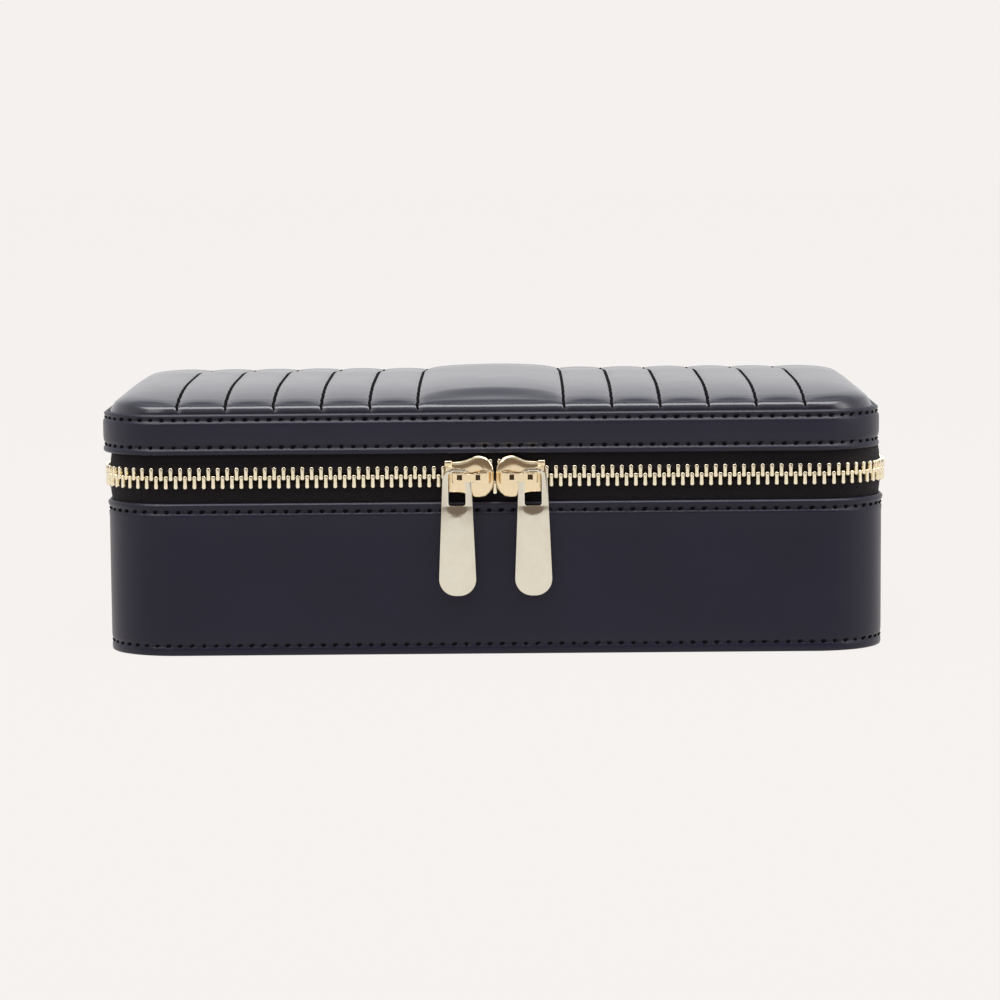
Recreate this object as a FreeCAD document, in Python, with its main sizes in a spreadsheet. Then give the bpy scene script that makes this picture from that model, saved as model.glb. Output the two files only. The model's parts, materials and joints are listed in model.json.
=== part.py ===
import FreeCAD, Part
import math
import os
import re
import Sketcher

# Zip-round jewellery case: a low leather box with a padded, channel-quilted lid.
# Millimetres. Origin at the centre of the bottom face, +X along the front (wearer's right),
# +Y towards the hinge at the back, +Z up. Stored closed, with both zip sliders at the middle.
#
# Every plan outline is the case's rounded rectangle moved inwards by an "inset", so
# inset 0 is the outer face of the base leather and each layer follows from the last.

Vector = FreeCAD.Vector

SIZES = (
    # whole case
    ("case_width", 210.0, "outer width of the base"),
    ("case_depth", 145.0, "outer depth of the base"),
    ("corner_radius", 19.0, "plan radius of the outer corners"),
    ("base_height", 41.4, "top edge of the base leather"),
    ("zip_gap", 12.7, "open height between the two leathers, where the zip runs"),
    ("lid_wall_height", 12.0, "height of the lid's side leather"),
    ("lid_overhang", 0.5, "how far the lid leather stands out past the base leather"),
    ("pad_rise", 6.0, "crown of the padded top above the rim"),
    # layers
    ("skin_thickness", 1.0, "side leather"),
    ("sole_thickness", 2.2, "bottom leather with its filler"),
    ("board_thickness", 3.3, "stiffening board of the base walls"),
    ("floor_board", 2.0, "stiffening board under the floor"),
    ("lid_board_wall", 2.6, "stiffening board of the lid walls"),
    ("lid_board_top", 2.0, "stiffening board across the lid"),
    ("collar_thickness", 1.4, "inner collar that rises past the zip"),
    ("collar_top", 50.4, "top of the collar board"),
    ("lining_thickness", 0.8, "suede lining"),
    ("pad_leather", 1.2, "leather of the padded top"),
    ("slit_width", 0.2, "gap between the rim and the padded top"),
    # zip
    ("tape_thickness", 0.6, "zip tape"),
    ("tape_width", 13.0, "width of one tape"),
    ("tape_edge", 1.05, "tape edge to the zip's centre line"),
    ("tooth_pitch", 2.52, "spacing of the teeth on one tape"),
    ("tooth_width", 1.15, "tooth, along the tape"),
    ("tooth_head", 0.95, "tooth head, along the tape"),
    ("tooth_depth", 2.6, "tooth, through the tape"),
    ("tooth_back", 3.1, "tooth heel to the zip's centre line"),
    ("tooth_reach", 0.45, "how far a tooth head passes the centre line"),
    ("row_parting", 1.9, "each row's lift between the two sliders"),
    ("parting_length", 8.0, "half length of the parted stretch"),
    ("zip_end", 74.0, "end of the zip on the back, from the middle"),
    ("stop_length", 2.4, "end stop, along the tape"),
    # sliders
    ("slider_spacing", 0.5, "gap between the two sliders when shut"),
    ("slider_length", 13.0, "slider body"),
    ("slider_wide", 5.65, "half height at the wide end"),
    ("slider_narrow", 4.1, "half height at the narrow end"),
    ("plate_front", 1.2, "front plate"),
    ("plate_back", 1.2, "back plate"),
    ("plate_play", 0.2, "play between a plate and the teeth"),
    ("flange_width", 0.7, "flange, across the tape"),
    ("flange_depth", 0.8, "flange, from its plate towards the tape"),
    ("crown_tunnel", 2.0, "space under the crown for the pull"),
    ("crown_depth", 1.4, "crown bar, front to back"),
    ("crown_half", 1.65, "half height of the crown bar"),
    ("foot_half", 1.1, "half width of a crown foot"),
    ("inner_foot", 2.45, "inner crown foot, from the middle"),
    ("shoulder_radius", 1.4, "rounding of a plate's outline"),
    ("post_start", 1.0, "post between the plates, from the wide end"),
    ("post_end", 3.9, "post between the plates, from the wide end"),
    ("post_start_half", 0.9, "half height of the post at the wide end"),
    ("post_end_half", 0.25, "half height of the post at its point"),
    ("spring_start", 4.0, "lock spring, from the wide end"),
    ("spring_end", 8.2, "lock spring, from the wide end"),
    ("spring_thickness", 0.25, "lock spring"),
    ("dent_depth", 0.6, "dents in the crown's face"),
    ("dent_low", 0.2, "dents, below the zip's centre line"),
    ("dent_high", 1.0, "dents, above the zip's centre line"),
    ("pull_axis", 10.2, "swing axis of a pull, from the middle"),
    ("pull_axis_drop", 0.5, "swing axis below the zip's centre line"),
    ("pull_thickness", 1.2, "pull tab plate"),
    ("pull_play", 0.4, "play between the pull and the slider"),
    ("pull_top", 3.05, "top of the pull above its axis"),
    ("pull_tail", 31.1, "tail of the pull below its axis"),
    ("pull_neck_half", 3.85, "half width of the pull at its top"),
    ("pull_tail_half", 5.3, "half width of the pull at its tail"),
    ("hole_half", 2.25, "half width of the pull's hole"),
    ("hole_above", 1.9, "hole above the swing axis"),
    ("hole_below", 6.9, "hole below the swing axis"),
    # hinge at the back
    ("spine_width", 142.0, "leather spine that bridges the gap"),
    # base fittings
    ("tray_right", -8.0, "right side of the ring tray"),
    ("tray_height", 35.0, "ring tray, floor to rim"),
    ("tray_floor", 3.0, "ring tray floor"),
    ("roll_pitch", 18.0, "spacing of the ring rolls"),
    ("roll_gap", 0.6, "slit between two ring rolls"),
    ("roll_count", 7.0, "number of ring rolls"),
    ("roll_left", -91.0, "left end of the rolls"),
    ("roll_right", -10.4, "right end of the rolls"),
    ("divider_thickness", 2.2, "compartment wall"),
    ("divider_top", 41.7, "top of the compartment walls"),
    ("play", 0.2, "play between a fitting and the lining"),
    # lid fittings
    ("mirror_width", 84.0, "mirror glass"),
    ("mirror_depth", 104.0, "mirror glass"),
    ("mirror_thickness", 1.8, "mirror glass"),
    ("mirror_centre", 49.0, "mirror, right of the middle"),
    ("mirror_lip", 2.0, "frame over the mirror's edge"),
    ("frame_border", 7.0, "frame around the mirror"),
    ("pocket_left", -94.0, "left side of the necklace pocket"),
    ("pocket_right", -8.0, "right side of the necklace pocket"),
    ("pocket_mouth", 8.0, "mouth of the pocket, behind the middle"),
    ("pocket_depth", 4.8, "space inside the pocket"),
    ("pocket_wall", 1.2, "pocket fabric"),
    ("hook_count", 5.0, "necklace hooks"),
    ("hook_drop", 4.0, "hook below its strip"),
    ("hook_stem", 1.1, "radius of a hook's stem"),
    ("hook_arm", 5.0, "hook's arm, front to back"),
    ("hook_bar", 1.0, "thickness of a hook's arm and tip"),
    ("hook_tip", 2.4, "height of a hook's tip"),
    ("strip_depth", 13.0, "leather strip that holds the hooks"),
    ("strip_thickness", 1.6, "leather strip that holds the hooks"),
    ("strip_front", -57.0, "front edge of the hook strip"),
)

# Heights and insets that many parts share, each as an expression of the cells above.
ZIP_MIDDLE = "base_height + zip_gap / 2"
LID_BOTTOM = "base_height + zip_gap"
LID_TOP = f"{LID_BOTTOM} + lid_wall_height"
FLOOR_TOP = "sole_thickness + floor_board"
FLOOR = f"{FLOOR_TOP} + lining_thickness"
TAPE_INNER = "skin_thickness + tape_thickness"
BOARD_INNER = "skin_thickness + board_thickness"
COLLAR_INNER = f"{BOARD_INNER} + collar_thickness"
LINING_INNER = f"{COLLAR_INNER} + lining_thickness"
LID_BOARD_INNER = "skin_thickness + lid_board_wall"
CEILING = f"{LID_TOP} - pad_leather - lid_board_top - lining_thickness"
TEETH_FRONT = "case_depth / 2"
PLATE_FACE = f"{TEETH_FRONT} + plate_play"
CROWN_FACE = f"{PLATE_FACE} + plate_front"

doc = FreeCAD.newDocument("JewelleryCase")
sheet = doc.addObject("Spreadsheet::Sheet", "Sizes")
for row, (alias, number, meaning) in enumerate(SIZES, start=1):
    sheet.set(f"A{row}", meaning)
    sheet.set(f"B{row}", str(number))
    sheet.setAlias(f"B{row}", alias)
doc.recompute()

parts = []


# ---------------------------------------------------------------- document helpers

def cells(text):
    """Give an expression in which every cell name points at the sheet."""
    return re.sub(r"\b([a-z]+_[a-z_]+|play)\b", r"Sizes.\1", str(text))


def value(text):
    """Give an expression's present value."""
    return float(sheet.evalExpression(cells(text)))


def bind(target, name, text):
    """Tie one property or sketch dimension to the sheet."""
    target.setExpression(name, cells(text))


def add_part(kind, label):
    """Add a sub-part to the document under the name of its node."""
    item = doc.addObject(kind, label)
    item.Label = label
    parts.append(item)
    return item


def sketch_on(body, name, role, offset="0"):
    """Add a sketch on one of the body's own origin planes, moved along the plane's normal."""
    sketch = body.newObject("Sketcher::SketchObject", name)
    plane = next(item for item in body.Origin.OriginFeatures if item.Role == role)
    sketch.AttachmentSupport = [(plane, "")]
    sketch.MapMode = "FlatFace"
    bind(sketch, "AttachmentOffset.Base.z", offset)
    return sketch


def dimension(sketch, name, text, kind, *places):
    """Add a named driving dimension that follows the sheet."""
    index = sketch.addConstraint(Sketcher.Constraint(kind, *places, value(text)))
    sketch.renameConstraint(index, name)
    bind(sketch, f"Constraints.{name}", text)


def rounded_rectangle(sketch, tag, inset):
    """Draw the case's plan outline, moved inwards by the inset."""
    half_x = value(f"case_width / 2 - ({inset})")
    half_y = value(f"case_depth / 2 - ({inset})")
    radius = value(f"corner_radius - ({inset})")
    corners = ((1, -1), (1, 1), (-1, 1), (-1, -1))
    loop = []
    for number, (right, back) in enumerate(corners):
        before = corners[number - 1]
        if number % 2 == 0:
            ends = [(side * (half_x - radius), back * half_y) for side in (before[0], right)]
        else:
            ends = [(right * half_x, side * (half_y - radius)) for side in (before[1], back)]
        loop.append(sketch.addGeometry(Part.LineSegment(*(Vector(x, y, 0) for x, y in ends))))
        centre = Vector(right * (half_x - radius), back * (half_y - radius), 0)
        circle = Part.Circle(centre, Vector(0, 0, 1), radius)
        start = math.radians(90 * (number - 1))
        loop.append(sketch.addGeometry(Part.ArcOfCircle(circle, start, start + math.pi / 2)))
    for number, edge in enumerate(loop):
        following = loop[(number + 1) % len(loop)]
        sketch.addConstraint(Sketcher.Constraint("Tangent", edge, 2, following, 1))
    for number in range(4):
        direction = ("Horizontal", "Vertical")[number % 2]
        sketch.addConstraint(Sketcher.Constraint(direction, loop[2 * number]))
    for arc in (loop[3], loop[5], loop[7]):
        sketch.addConstraint(Sketcher.Constraint("Equal", loop[1], arc))
    sketch.addConstraint(Sketcher.Constraint("Symmetric", loop[1], 3, loop[5], 3, -1, 1))
    dimension(sketch, f"{tag}_width", f"case_width - 2 * ({inset})", "DistanceX",
              loop[6], 1, loop[2], 1)
    dimension(sketch, f"{tag}_depth", f"case_depth - 2 * ({inset})", "DistanceY",
              loop[0], 1, loop[4], 1)
    dimension(sketch, f"{tag}_radius", f"corner_radius - ({inset})", "Radius", loop[1])


def polygon(sketch, points):
    """Draw a closed outline whose corners are pairs of expressions."""
    places = [Vector(value(x), value(y), 0) for x, y in points]
    count = len(points)
    first = sketch.GeometryCount
    for number in range(count):
        sketch.addGeometry(Part.LineSegment(places[number], places[(number + 1) % count]))
    for number, (x, y) in enumerate(points):
        edge = first + number
        following = first + (number + 1) % count
        sketch.addConstraint(Sketcher.Constraint("Coincident", edge, 2, following, 1))
        for kind, text in (("DistanceX", x), ("DistanceY", y)):
            dimension(sketch, f"{kind}_{edge}", text, kind, -1, 1, edge, 1)


def rectangle(sketch, left, right, low, high):
    """Draw an upright rectangle from four expressions."""
    polygon(sketch, ((left, low), (right, low), (right, high), (left, high)))


def pad(body, sketch, length):
    """Extrude a sketch along its plane's normal."""
    feature = body.newObject("PartDesign::Pad", f"{sketch.Name}_pad")
    feature.Profile = sketch
    bind(feature, "Length", length)
    sketch.Visibility = False
    doc.recompute()
    return feature


def pocket(body, sketch, length):
    """Cut a sketch out of the body along its plane's normal."""
    before = body.Shape.Volume
    feature = body.newObject("PartDesign::Pocket", f"{sketch.Name}_pocket")
    feature.Profile = sketch
    feature.Reversed = True
    bind(feature, "Length", length)
    sketch.Visibility = False
    doc.recompute()
    if body.Shape.Volume >= before:
        raise RuntimeError(f"{feature.Name} cut nothing")
    return feature


def soften(body, kind, name, amount, chosen):
    """Round ("Fillet") or bevel ("Chamfer") the edges that pass a test."""
    base = body.Tip
    names = [f"Edge{n}" for n, edge in enumerate(base.Shape.Edges, start=1) if chosen(edge)]
    feature = body.newObject(f"PartDesign::{kind}", name)
    feature.Base = (base, names)
    bind(feature, {"Fillet": "Radius", "Chamfer": "Size"}[kind], amount)
    doc.recompute()
    return feature


def lies_at_height(height):
    """Make a test for edges that lie flat at one height."""
    level = value(height)
    return lambda edge: max(abs(edge.BoundBox.ZMin - level), abs(edge.BoundBox.ZMax - level)) < 1e-4


def lies_on_face(distance):
    """Make a test for edges that lie in an upright plane in front of the middle."""
    level = -value(distance)
    return lambda edge: max(abs(edge.BoundBox.YMin - level), abs(edge.BoundBox.YMax - level)) < 1e-4


def box(label, left, right, front, back, low, high):
    """Add a plain block from six expressions."""
    block = add_part("Part::Box", label)
    bind(block, "Length", f"({right}) - ({left})")
    bind(block, "Width", f"({back}) - ({front})")
    bind(block, "Height", f"({high}) - ({low})")
    bind(block, "Placement.Base.x", left)
    bind(block, "Placement.Base.y", front)
    bind(block, "Placement.Base.z", low)
    return block


def ring(label, outer, inner, low, high):
    """Add a band that follows the plan outline between two insets."""
    body = add_part("PartDesign::Body", label)
    sketch = sketch_on(body, f"{label}_plan", "XY_Plane", low)
    rounded_rectangle(sketch, "outer", outer)
    rounded_rectangle(sketch, "inner", inner)
    pad(body, sketch, f"({high}) - ({low})")
    return body


def slab(label, inset, low, high):
    """Add a solid plate with the plan outline."""
    body = add_part("PartDesign::Body", label)
    sketch = sketch_on(body, f"{label}_plan", "XY_Plane", low)
    rounded_rectangle(sketch, "outer", inset)
    pad(body, sketch, f"({high}) - ({low})")
    return body


def hollow(body, name, inset, low, high):
    """Cut the plan outline out of a body between two heights."""
    sketch = sketch_on(body, f"{body.Label}_{name}", "XY_Plane", low)
    rounded_rectangle(sketch, "inner", inset)
    pocket(body, sketch, f"({high}) - ({low})")


def rebate(body, name, outer, inner, low, high):
    """Cut a band out of a body, between two insets and two heights."""
    sketch = sketch_on(body, f"{body.Label}_{name}", "XY_Plane", low)
    rounded_rectangle(sketch, "outer", outer)
    rounded_rectangle(sketch, "inner", inner)
    pocket(body, sketch, f"({high}) - ({low})")


# ---------------------------------------------------------------- base

def make_base_shell():
    """Make the bottom leather, side leather, stiffening tray, collar and lining."""
    sole = slab("base_bottom_leather", "0", "0", "sole_thickness")
    soften(sole, "Fillet", "sole_edge", "sole_thickness - 0.6", lies_at_height("0"))
    ring("base_wall_leather", "0", "skin_thickness", "sole_thickness", "base_height")

    rim = "base_height - 0.5"
    board = slab("base_board", "skin_thickness", "sole_thickness", rim)
    hollow(board, "well", BOARD_INNER, FLOOR_TOP, rim)
    tape_low = f"{ZIP_MIDDLE} - tape_edge - tape_width"
    rebate(board, "tape_seat", "skin_thickness - 0.5", TAPE_INNER, tape_low, f"{rim} + 1")

    ring("inner_collar", BOARD_INNER, COLLAR_INNER, FLOOR_TOP, "collar_top")

    lining_top = "collar_top + lining_thickness"
    lining = slab("base_lining", COLLAR_INNER, FLOOR_TOP, lining_top)
    hollow(lining, "well", LINING_INNER, FLOOR, lining_top)
    fold = sketch_on(lining, "base_lining_fold", "XY_Plane", "collar_top")
    rounded_rectangle(fold, "outer", BOARD_INNER)
    rounded_rectangle(fold, "inner", LINING_INNER)
    pad(lining, fold, "lining_thickness")


def make_ring_tray():
    """Make the left-hand tray and its row of padded ring rolls."""
    left = f"{LINING_INNER} + play - case_width / 2"
    side = f"case_depth / 2 - {LINING_INNER.replace(' + ', ' - ')} - play"
    tray = add_part("PartDesign::Body", "ring_tray")
    plan = sketch_on(tray, "ring_tray_plan", "XY_Plane", FLOOR)
    rectangle(plan, left, "tray_right", f"-({side})", side)
    pad(tray, plan, "tray_height")
    edge_x = value(left)
    soften(tray, "Fillet", "tray_corners", f"corner_radius - ({LINING_INNER}) - play",
           lambda edge: abs(edge.BoundBox.XMax - edge_x) < 1e-4 and edge.BoundBox.ZLength > 1)
    bed = sketch_on(tray, "ring_tray_bed", "XY_Plane", f"{FLOOR} + tray_floor")
    half_rolls = "roll_count * roll_pitch / 2"
    rectangle(bed, "roll_left", "roll_right", f"-{half_rolls}", half_rolls)
    pocket(tray, bed, "tray_height")

    for number in range(int(value("roll_count"))):
        roll = add_part("PartDesign::Body", f"ring_roll_{number + 1}")
        end = sketch_on(roll, f"ring_roll_{number + 1}_end", "YZ_Plane", "roll_left + play")
        middle = f"roll_pitch * ({number} - (roll_count - 1) / 2)"
        half = "(roll_pitch - roll_gap) / 2"
        low = f"{FLOOR} + tray_floor"
        rectangle(end, f"{middle} - {half}", f"{middle} + {half}", low, f"{FLOOR} + tray_height")
        pad(roll, end, "roll_right - roll_left - 2 * play")
        top = value(f"{FLOOR} + tray_height")
        soften(roll, "Fillet", f"ring_roll_{number + 1}_top", f"{half} - 0.05",
               lambda edge: edge.BoundBox.ZMin > top - 1e-4 and edge.BoundBox.XLength > 1)


def make_dividers():
    """Make the walls of the five open compartments on the right."""
    wall = "divider_thickness"
    back = f"case_depth / 2 - ({LINING_INNER}) - play"
    right = f"case_width / 2 - ({LINING_INNER}) - play"
    first = f"tray_right + play + {wall}"
    box("divider_centre", "tray_right + play", first, f"-({back})", back, FLOOR, "divider_top")
    box("divider_long", first, right, f"-{wall} / 2", f"{wall} / 2", FLOOR, "divider_top")
    span = f"(({right}) - ({first}))"
    for label, share, front, rear in (
        ("divider_front", "1 / 2", f"-({back})", f"-{wall} / 2"),
        ("divider_rear_left", "1 / 3", f"{wall} / 2", back),
        ("divider_rear_right", "2 / 3", f"{wall} / 2", back),
    ):
        middle = f"{first} + {span} * {share}"
        box(label, f"{middle} - {wall} / 2", f"{middle} + {wall} / 2", front, rear,
            FLOOR, "divider_top")


# ---------------------------------------------------------------- lid

def make_lid_shell():
    """Make the lid's side leather, board, lining, foam and padded top."""
    ring("lid_wall_leather", "-lid_overhang", "skin_thickness", LID_BOTTOM, LID_TOP)

    top = f"{LID_TOP} - pad_leather"
    low = f"{LID_BOTTOM} + 0.4"
    board = slab("lid_board", "skin_thickness", low, top)
    hollow(board, "well", LID_BOARD_INNER, low, f"{top} - lid_board_top")
    tape_high = f"{ZIP_MIDDLE} + tape_edge + tape_width"
    rebate(board, "tape_seat", "skin_thickness - 0.5", TAPE_INNER, low, tape_high)

    lining_inner = f"{LID_BOARD_INNER} + lining_thickness"
    lining = slab("lid_lining", LID_BOARD_INNER, low, f"{top} - lid_board_top")
    hollow(lining, "well", lining_inner, low, CEILING)

    crown = f"{LID_TOP} + pad_rise"
    edge = "skin_thickness + slit_width"
    cover = slab("lid_top_leather", edge, top, crown)
    soften(cover, "Fillet", "cover_edge", "pad_rise - 0.5", lies_at_height(crown))
    inner = f"{edge} + pad_leather"
    hollow(cover, "foam_space", inner, top, f"{crown} - pad_leather - 2")
    foam = slab("lid_top_foam", f"{inner} + slit_width", top, f"{crown} - pad_leather - 2.2")
    soften(foam, "Fillet", "foam_edge", "1.5", lies_at_height(f"{crown} - pad_leather - 2.2"))


def make_mirror():
    """Make the mirror glass and the suede frame that holds it in the lid."""
    half_x = "mirror_width / 2"
    half_y = "mirror_depth / 2"
    glass_low = f"{CEILING} - mirror_thickness"
    box("mirror", f"mirror_centre - {half_x}", f"mirror_centre + {half_x}",
        f"-{half_y}", half_y, glass_low, CEILING)

    frame = add_part("PartDesign::Body", "mirror_frame")
    for name, grow, low, high in (
        ("border", "frame_border", f"{glass_low} - lining_thickness", CEILING),
        ("rebate", "0", glass_low, CEILING),
        ("window", "-mirror_lip", f"{glass_low} - lining_thickness", CEILING),
    ):
        sketch = sketch_on(frame, f"mirror_{name}", "XY_Plane", low)
        rectangle(sketch, f"mirror_centre - {half_x} - ({grow})",
                  f"mirror_centre + {half_x} + ({grow})",
                  f"-{half_y} - ({grow})", f"{half_y} + ({grow})")
        make = pad if name == "border" else pocket
        make(frame, sketch, f"({high}) - ({low})")


def make_necklace_fittings():
    """Make the hook strip, its brass hooks and the elastic-topped pocket."""
    strip_low = f"{CEILING} - strip_thickness"
    box("hook_strip", "pocket_left", "pocket_right", "strip_front",
        "strip_front + strip_depth", strip_low, CEILING)

    hooks = add_part("Part::Feature", "necklace_hooks")
    count = int(value("hook_count"))
    span = value("pocket_right - pocket_left")
    bottom = value(f"{strip_low} - hook_drop")
    half, reach, bar = value("hook_stem"), value("hook_arm"), value("hook_bar")
    solids = []
    for number in range(count):
        x = value("pocket_left") + span * (number + 0.5) / count
        y = value("strip_front + strip_depth / 2")
        stem = Part.makeCylinder(half, value("hook_drop"), Vector(x, y, bottom))
        corner = Vector(x - half, y - reach, bottom)
        arm = Part.makeBox(2 * half, reach, bar, corner)
        tip = Part.makeBox(2 * half, bar, value("hook_tip"), corner)
        solids.append(stem.fuse([arm, tip]).removeSplitter())
    hooks.Shape = Part.makeCompound(solids)

    back = f"case_depth / 2 - {LID_BOARD_INNER.replace(' + ', ' - ')} - lining_thickness - play"
    pouch = add_part("PartDesign::Body", "necklace_pocket")
    low = f"{CEILING} - pocket_depth - pocket_wall"
    right = "pocket_right"
    outside = sketch_on(pouch, "pocket_outside", "XY_Plane", low)
    rectangle(outside, "pocket_left", right, "pocket_mouth", f"{back} - 6")
    pad(pouch, outside, "pocket_depth + pocket_wall")
    inside = sketch_on(pouch, "pocket_inside", "XY_Plane", f"{low} + pocket_wall")
    rectangle(inside, "pocket_left + pocket_wall", f"{right} - pocket_wall",
              "pocket_mouth - 1", f"{back} - 6 - pocket_wall")
    pocket(pouch, inside, "pocket_depth + 1")
    box("pocket_elastic", "pocket_left", right, "pocket_mouth - 2.4", "pocket_mouth",
        f"{low} - 0.4", f"{low} + pocket_wall")


# ---------------------------------------------------------------- zip

def chain_place(distance):
    """Give the chain's plan place and heading at a distance from the front middle.

    The chain's centre line follows the plan outline half a tooth inside the leather's face:
    along the front, round a front corner, along a side, round a rear corner and on
    along the back. Distances to the right are positive.
    """
    inset = value("tooth_depth") / 2
    radius = value("corner_radius") - inset
    half_x = value("case_width") / 2 - inset
    half_y = value("case_depth") / 2 - inset
    legs = (half_x - radius, radius * math.pi / 2, 2 * (half_y - radius), radius * math.pi / 2)
    side = 1 if distance >= 0 else -1
    left = abs(distance)
    leg = 0
    while leg < 4 and left > legs[leg]:
        left -= legs[leg]
        leg += 1
    if leg == 0:
        x, y, heading = left, -half_y, 0.0
    elif leg == 1:
        heading = left / radius
        x = half_x - radius + radius * math.sin(heading)
        y = -half_y + radius - radius * math.cos(heading)
    elif leg == 2:
        x, y, heading = half_x, -half_y + radius + left, math.pi / 2
    elif leg == 3:
        heading = math.pi / 2 + left / radius
        x = half_x - radius + radius * math.sin(heading)
        y = half_y - radius - radius * math.cos(heading)
    else:
        x, y, heading = half_x - radius - left, half_y, math.pi
    return side * x, y, side * heading


def chain_reach():
    """Give the chain's length from the front middle to either end."""
    inset = value("tooth_depth") / 2
    radius = value("corner_radius") - inset
    half_x = value("case_width") / 2 - inset
    half_y = value("case_depth") / 2 - inset
    straight = (half_x - radius) + 2 * (half_y - radius)
    return straight + radius * math.pi + half_x - radius - value("zip_end")


def on_chain(solid, distance, lift):
    """Put a solid drawn at the origin onto the chain."""
    x, y, heading = chain_place(distance)
    turn = FreeCAD.Rotation(Vector(0, 0, 1), math.degrees(heading))
    solid.Placement = FreeCAD.Placement(Vector(x, y, value(ZIP_MIDDLE) + lift), turn)
    return solid


def tooth(up):
    """Draw one tooth at the origin: a straight heel and a slightly narrower head."""
    depth = value("tooth_depth")
    reach = value("tooth_reach")
    back = value("tooth_back")
    outline = []
    for half, height in (
        (value("tooth_head") / 2, -reach),
        (value("tooth_head") / 2, reach + 0.1),
        (value("tooth_width") / 2, reach + 0.3),
        (value("tooth_width") / 2, back),
    ):
        outline.append((half, up * height))
    outline += [(-half, height) for half, height in reversed(outline)]
    corners = [Vector(x, -depth / 2, z) for x, z in outline]
    face = Part.Face(Part.makePolygon(corners + corners[:1]))
    return face.extrude(Vector(0, depth, 0))


def row_lift(distance):
    """Give how far a row is parted from the centre line between the two sliders."""
    share = max(0.0, 1.0 - abs(distance) / value("parting_length"))
    return value("row_parting") * share * share * (3 - 2 * share)


def make_teeth(label, up, phase):
    """Make one row of teeth as separate solids along the whole chain."""
    pitch = value("tooth_pitch")
    limit = chain_reach() - value("stop_length + tooth_width")
    count = int(limit / pitch) + 1
    solids = []
    for number in range(-count, count + 1):
        distance = (number + phase) * pitch
        if abs(distance) <= limit:
            solids.append(on_chain(tooth(up), distance, up * row_lift(distance)))
    row = add_part("Part::Feature", label)
    row.Shape = Part.makeCompound(solids)


def make_tape(label, up):
    """Make one zip tape: a thin band that follows the chain and ends past the rear corners."""
    near = "tape_edge"
    far = "tape_edge + tape_width"
    if up > 0:
        low, high = f"{ZIP_MIDDLE} + {near}", f"{ZIP_MIDDLE} + {far}"
    else:
        low, high = f"{ZIP_MIDDLE} - ({far})", f"{ZIP_MIDDLE} - {near}"
    tape = ring(label, "skin_thickness", TAPE_INNER, low, high)
    opening = sketch_on(tape, f"{label}_back", "XY_Plane", low)
    rectangle(opening, "-zip_end", "zip_end", "case_depth / 4", "case_depth / 2 + 5")
    pocket(tape, opening, f"({high}) - ({low})")


def make_stops(label, up):
    """Make the two metal stops at the rear ends of one row."""
    length = value("stop_length")
    depth = value("tooth_depth")
    height = value("tooth_back")
    solids = []
    for side in (-1, 1):
        block = Part.makeBox(length, depth, height - 0.3,
                             Vector(-length / 2, -depth / 2, 0.3 if up > 0 else -height))
        solids.append(on_chain(block, side * (chain_reach() - length / 2), 0.0))
    stops = add_part("Part::Feature", label)
    stops.Shape = Part.makeCompound(solids)


def make_zip():
    """Make both tapes, their end stops and both rows of teeth, half a pitch apart."""
    for name, up, phase in (("lower", -1, 0.0), ("upper", 1, 0.5)):
        make_tape(f"zip_tape_{name}", up)
        make_stops(f"zip_stops_{name}", up)
        make_teeth(f"zip_teeth_{name}", up, phase)


# ---------------------------------------------------------------- sliders and pulls

def along(side, distance):
    """Give the x of a place that lies a distance out from a slider's wide end."""
    return f"{side} * (slider_spacing / 2 + {distance})"


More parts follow.
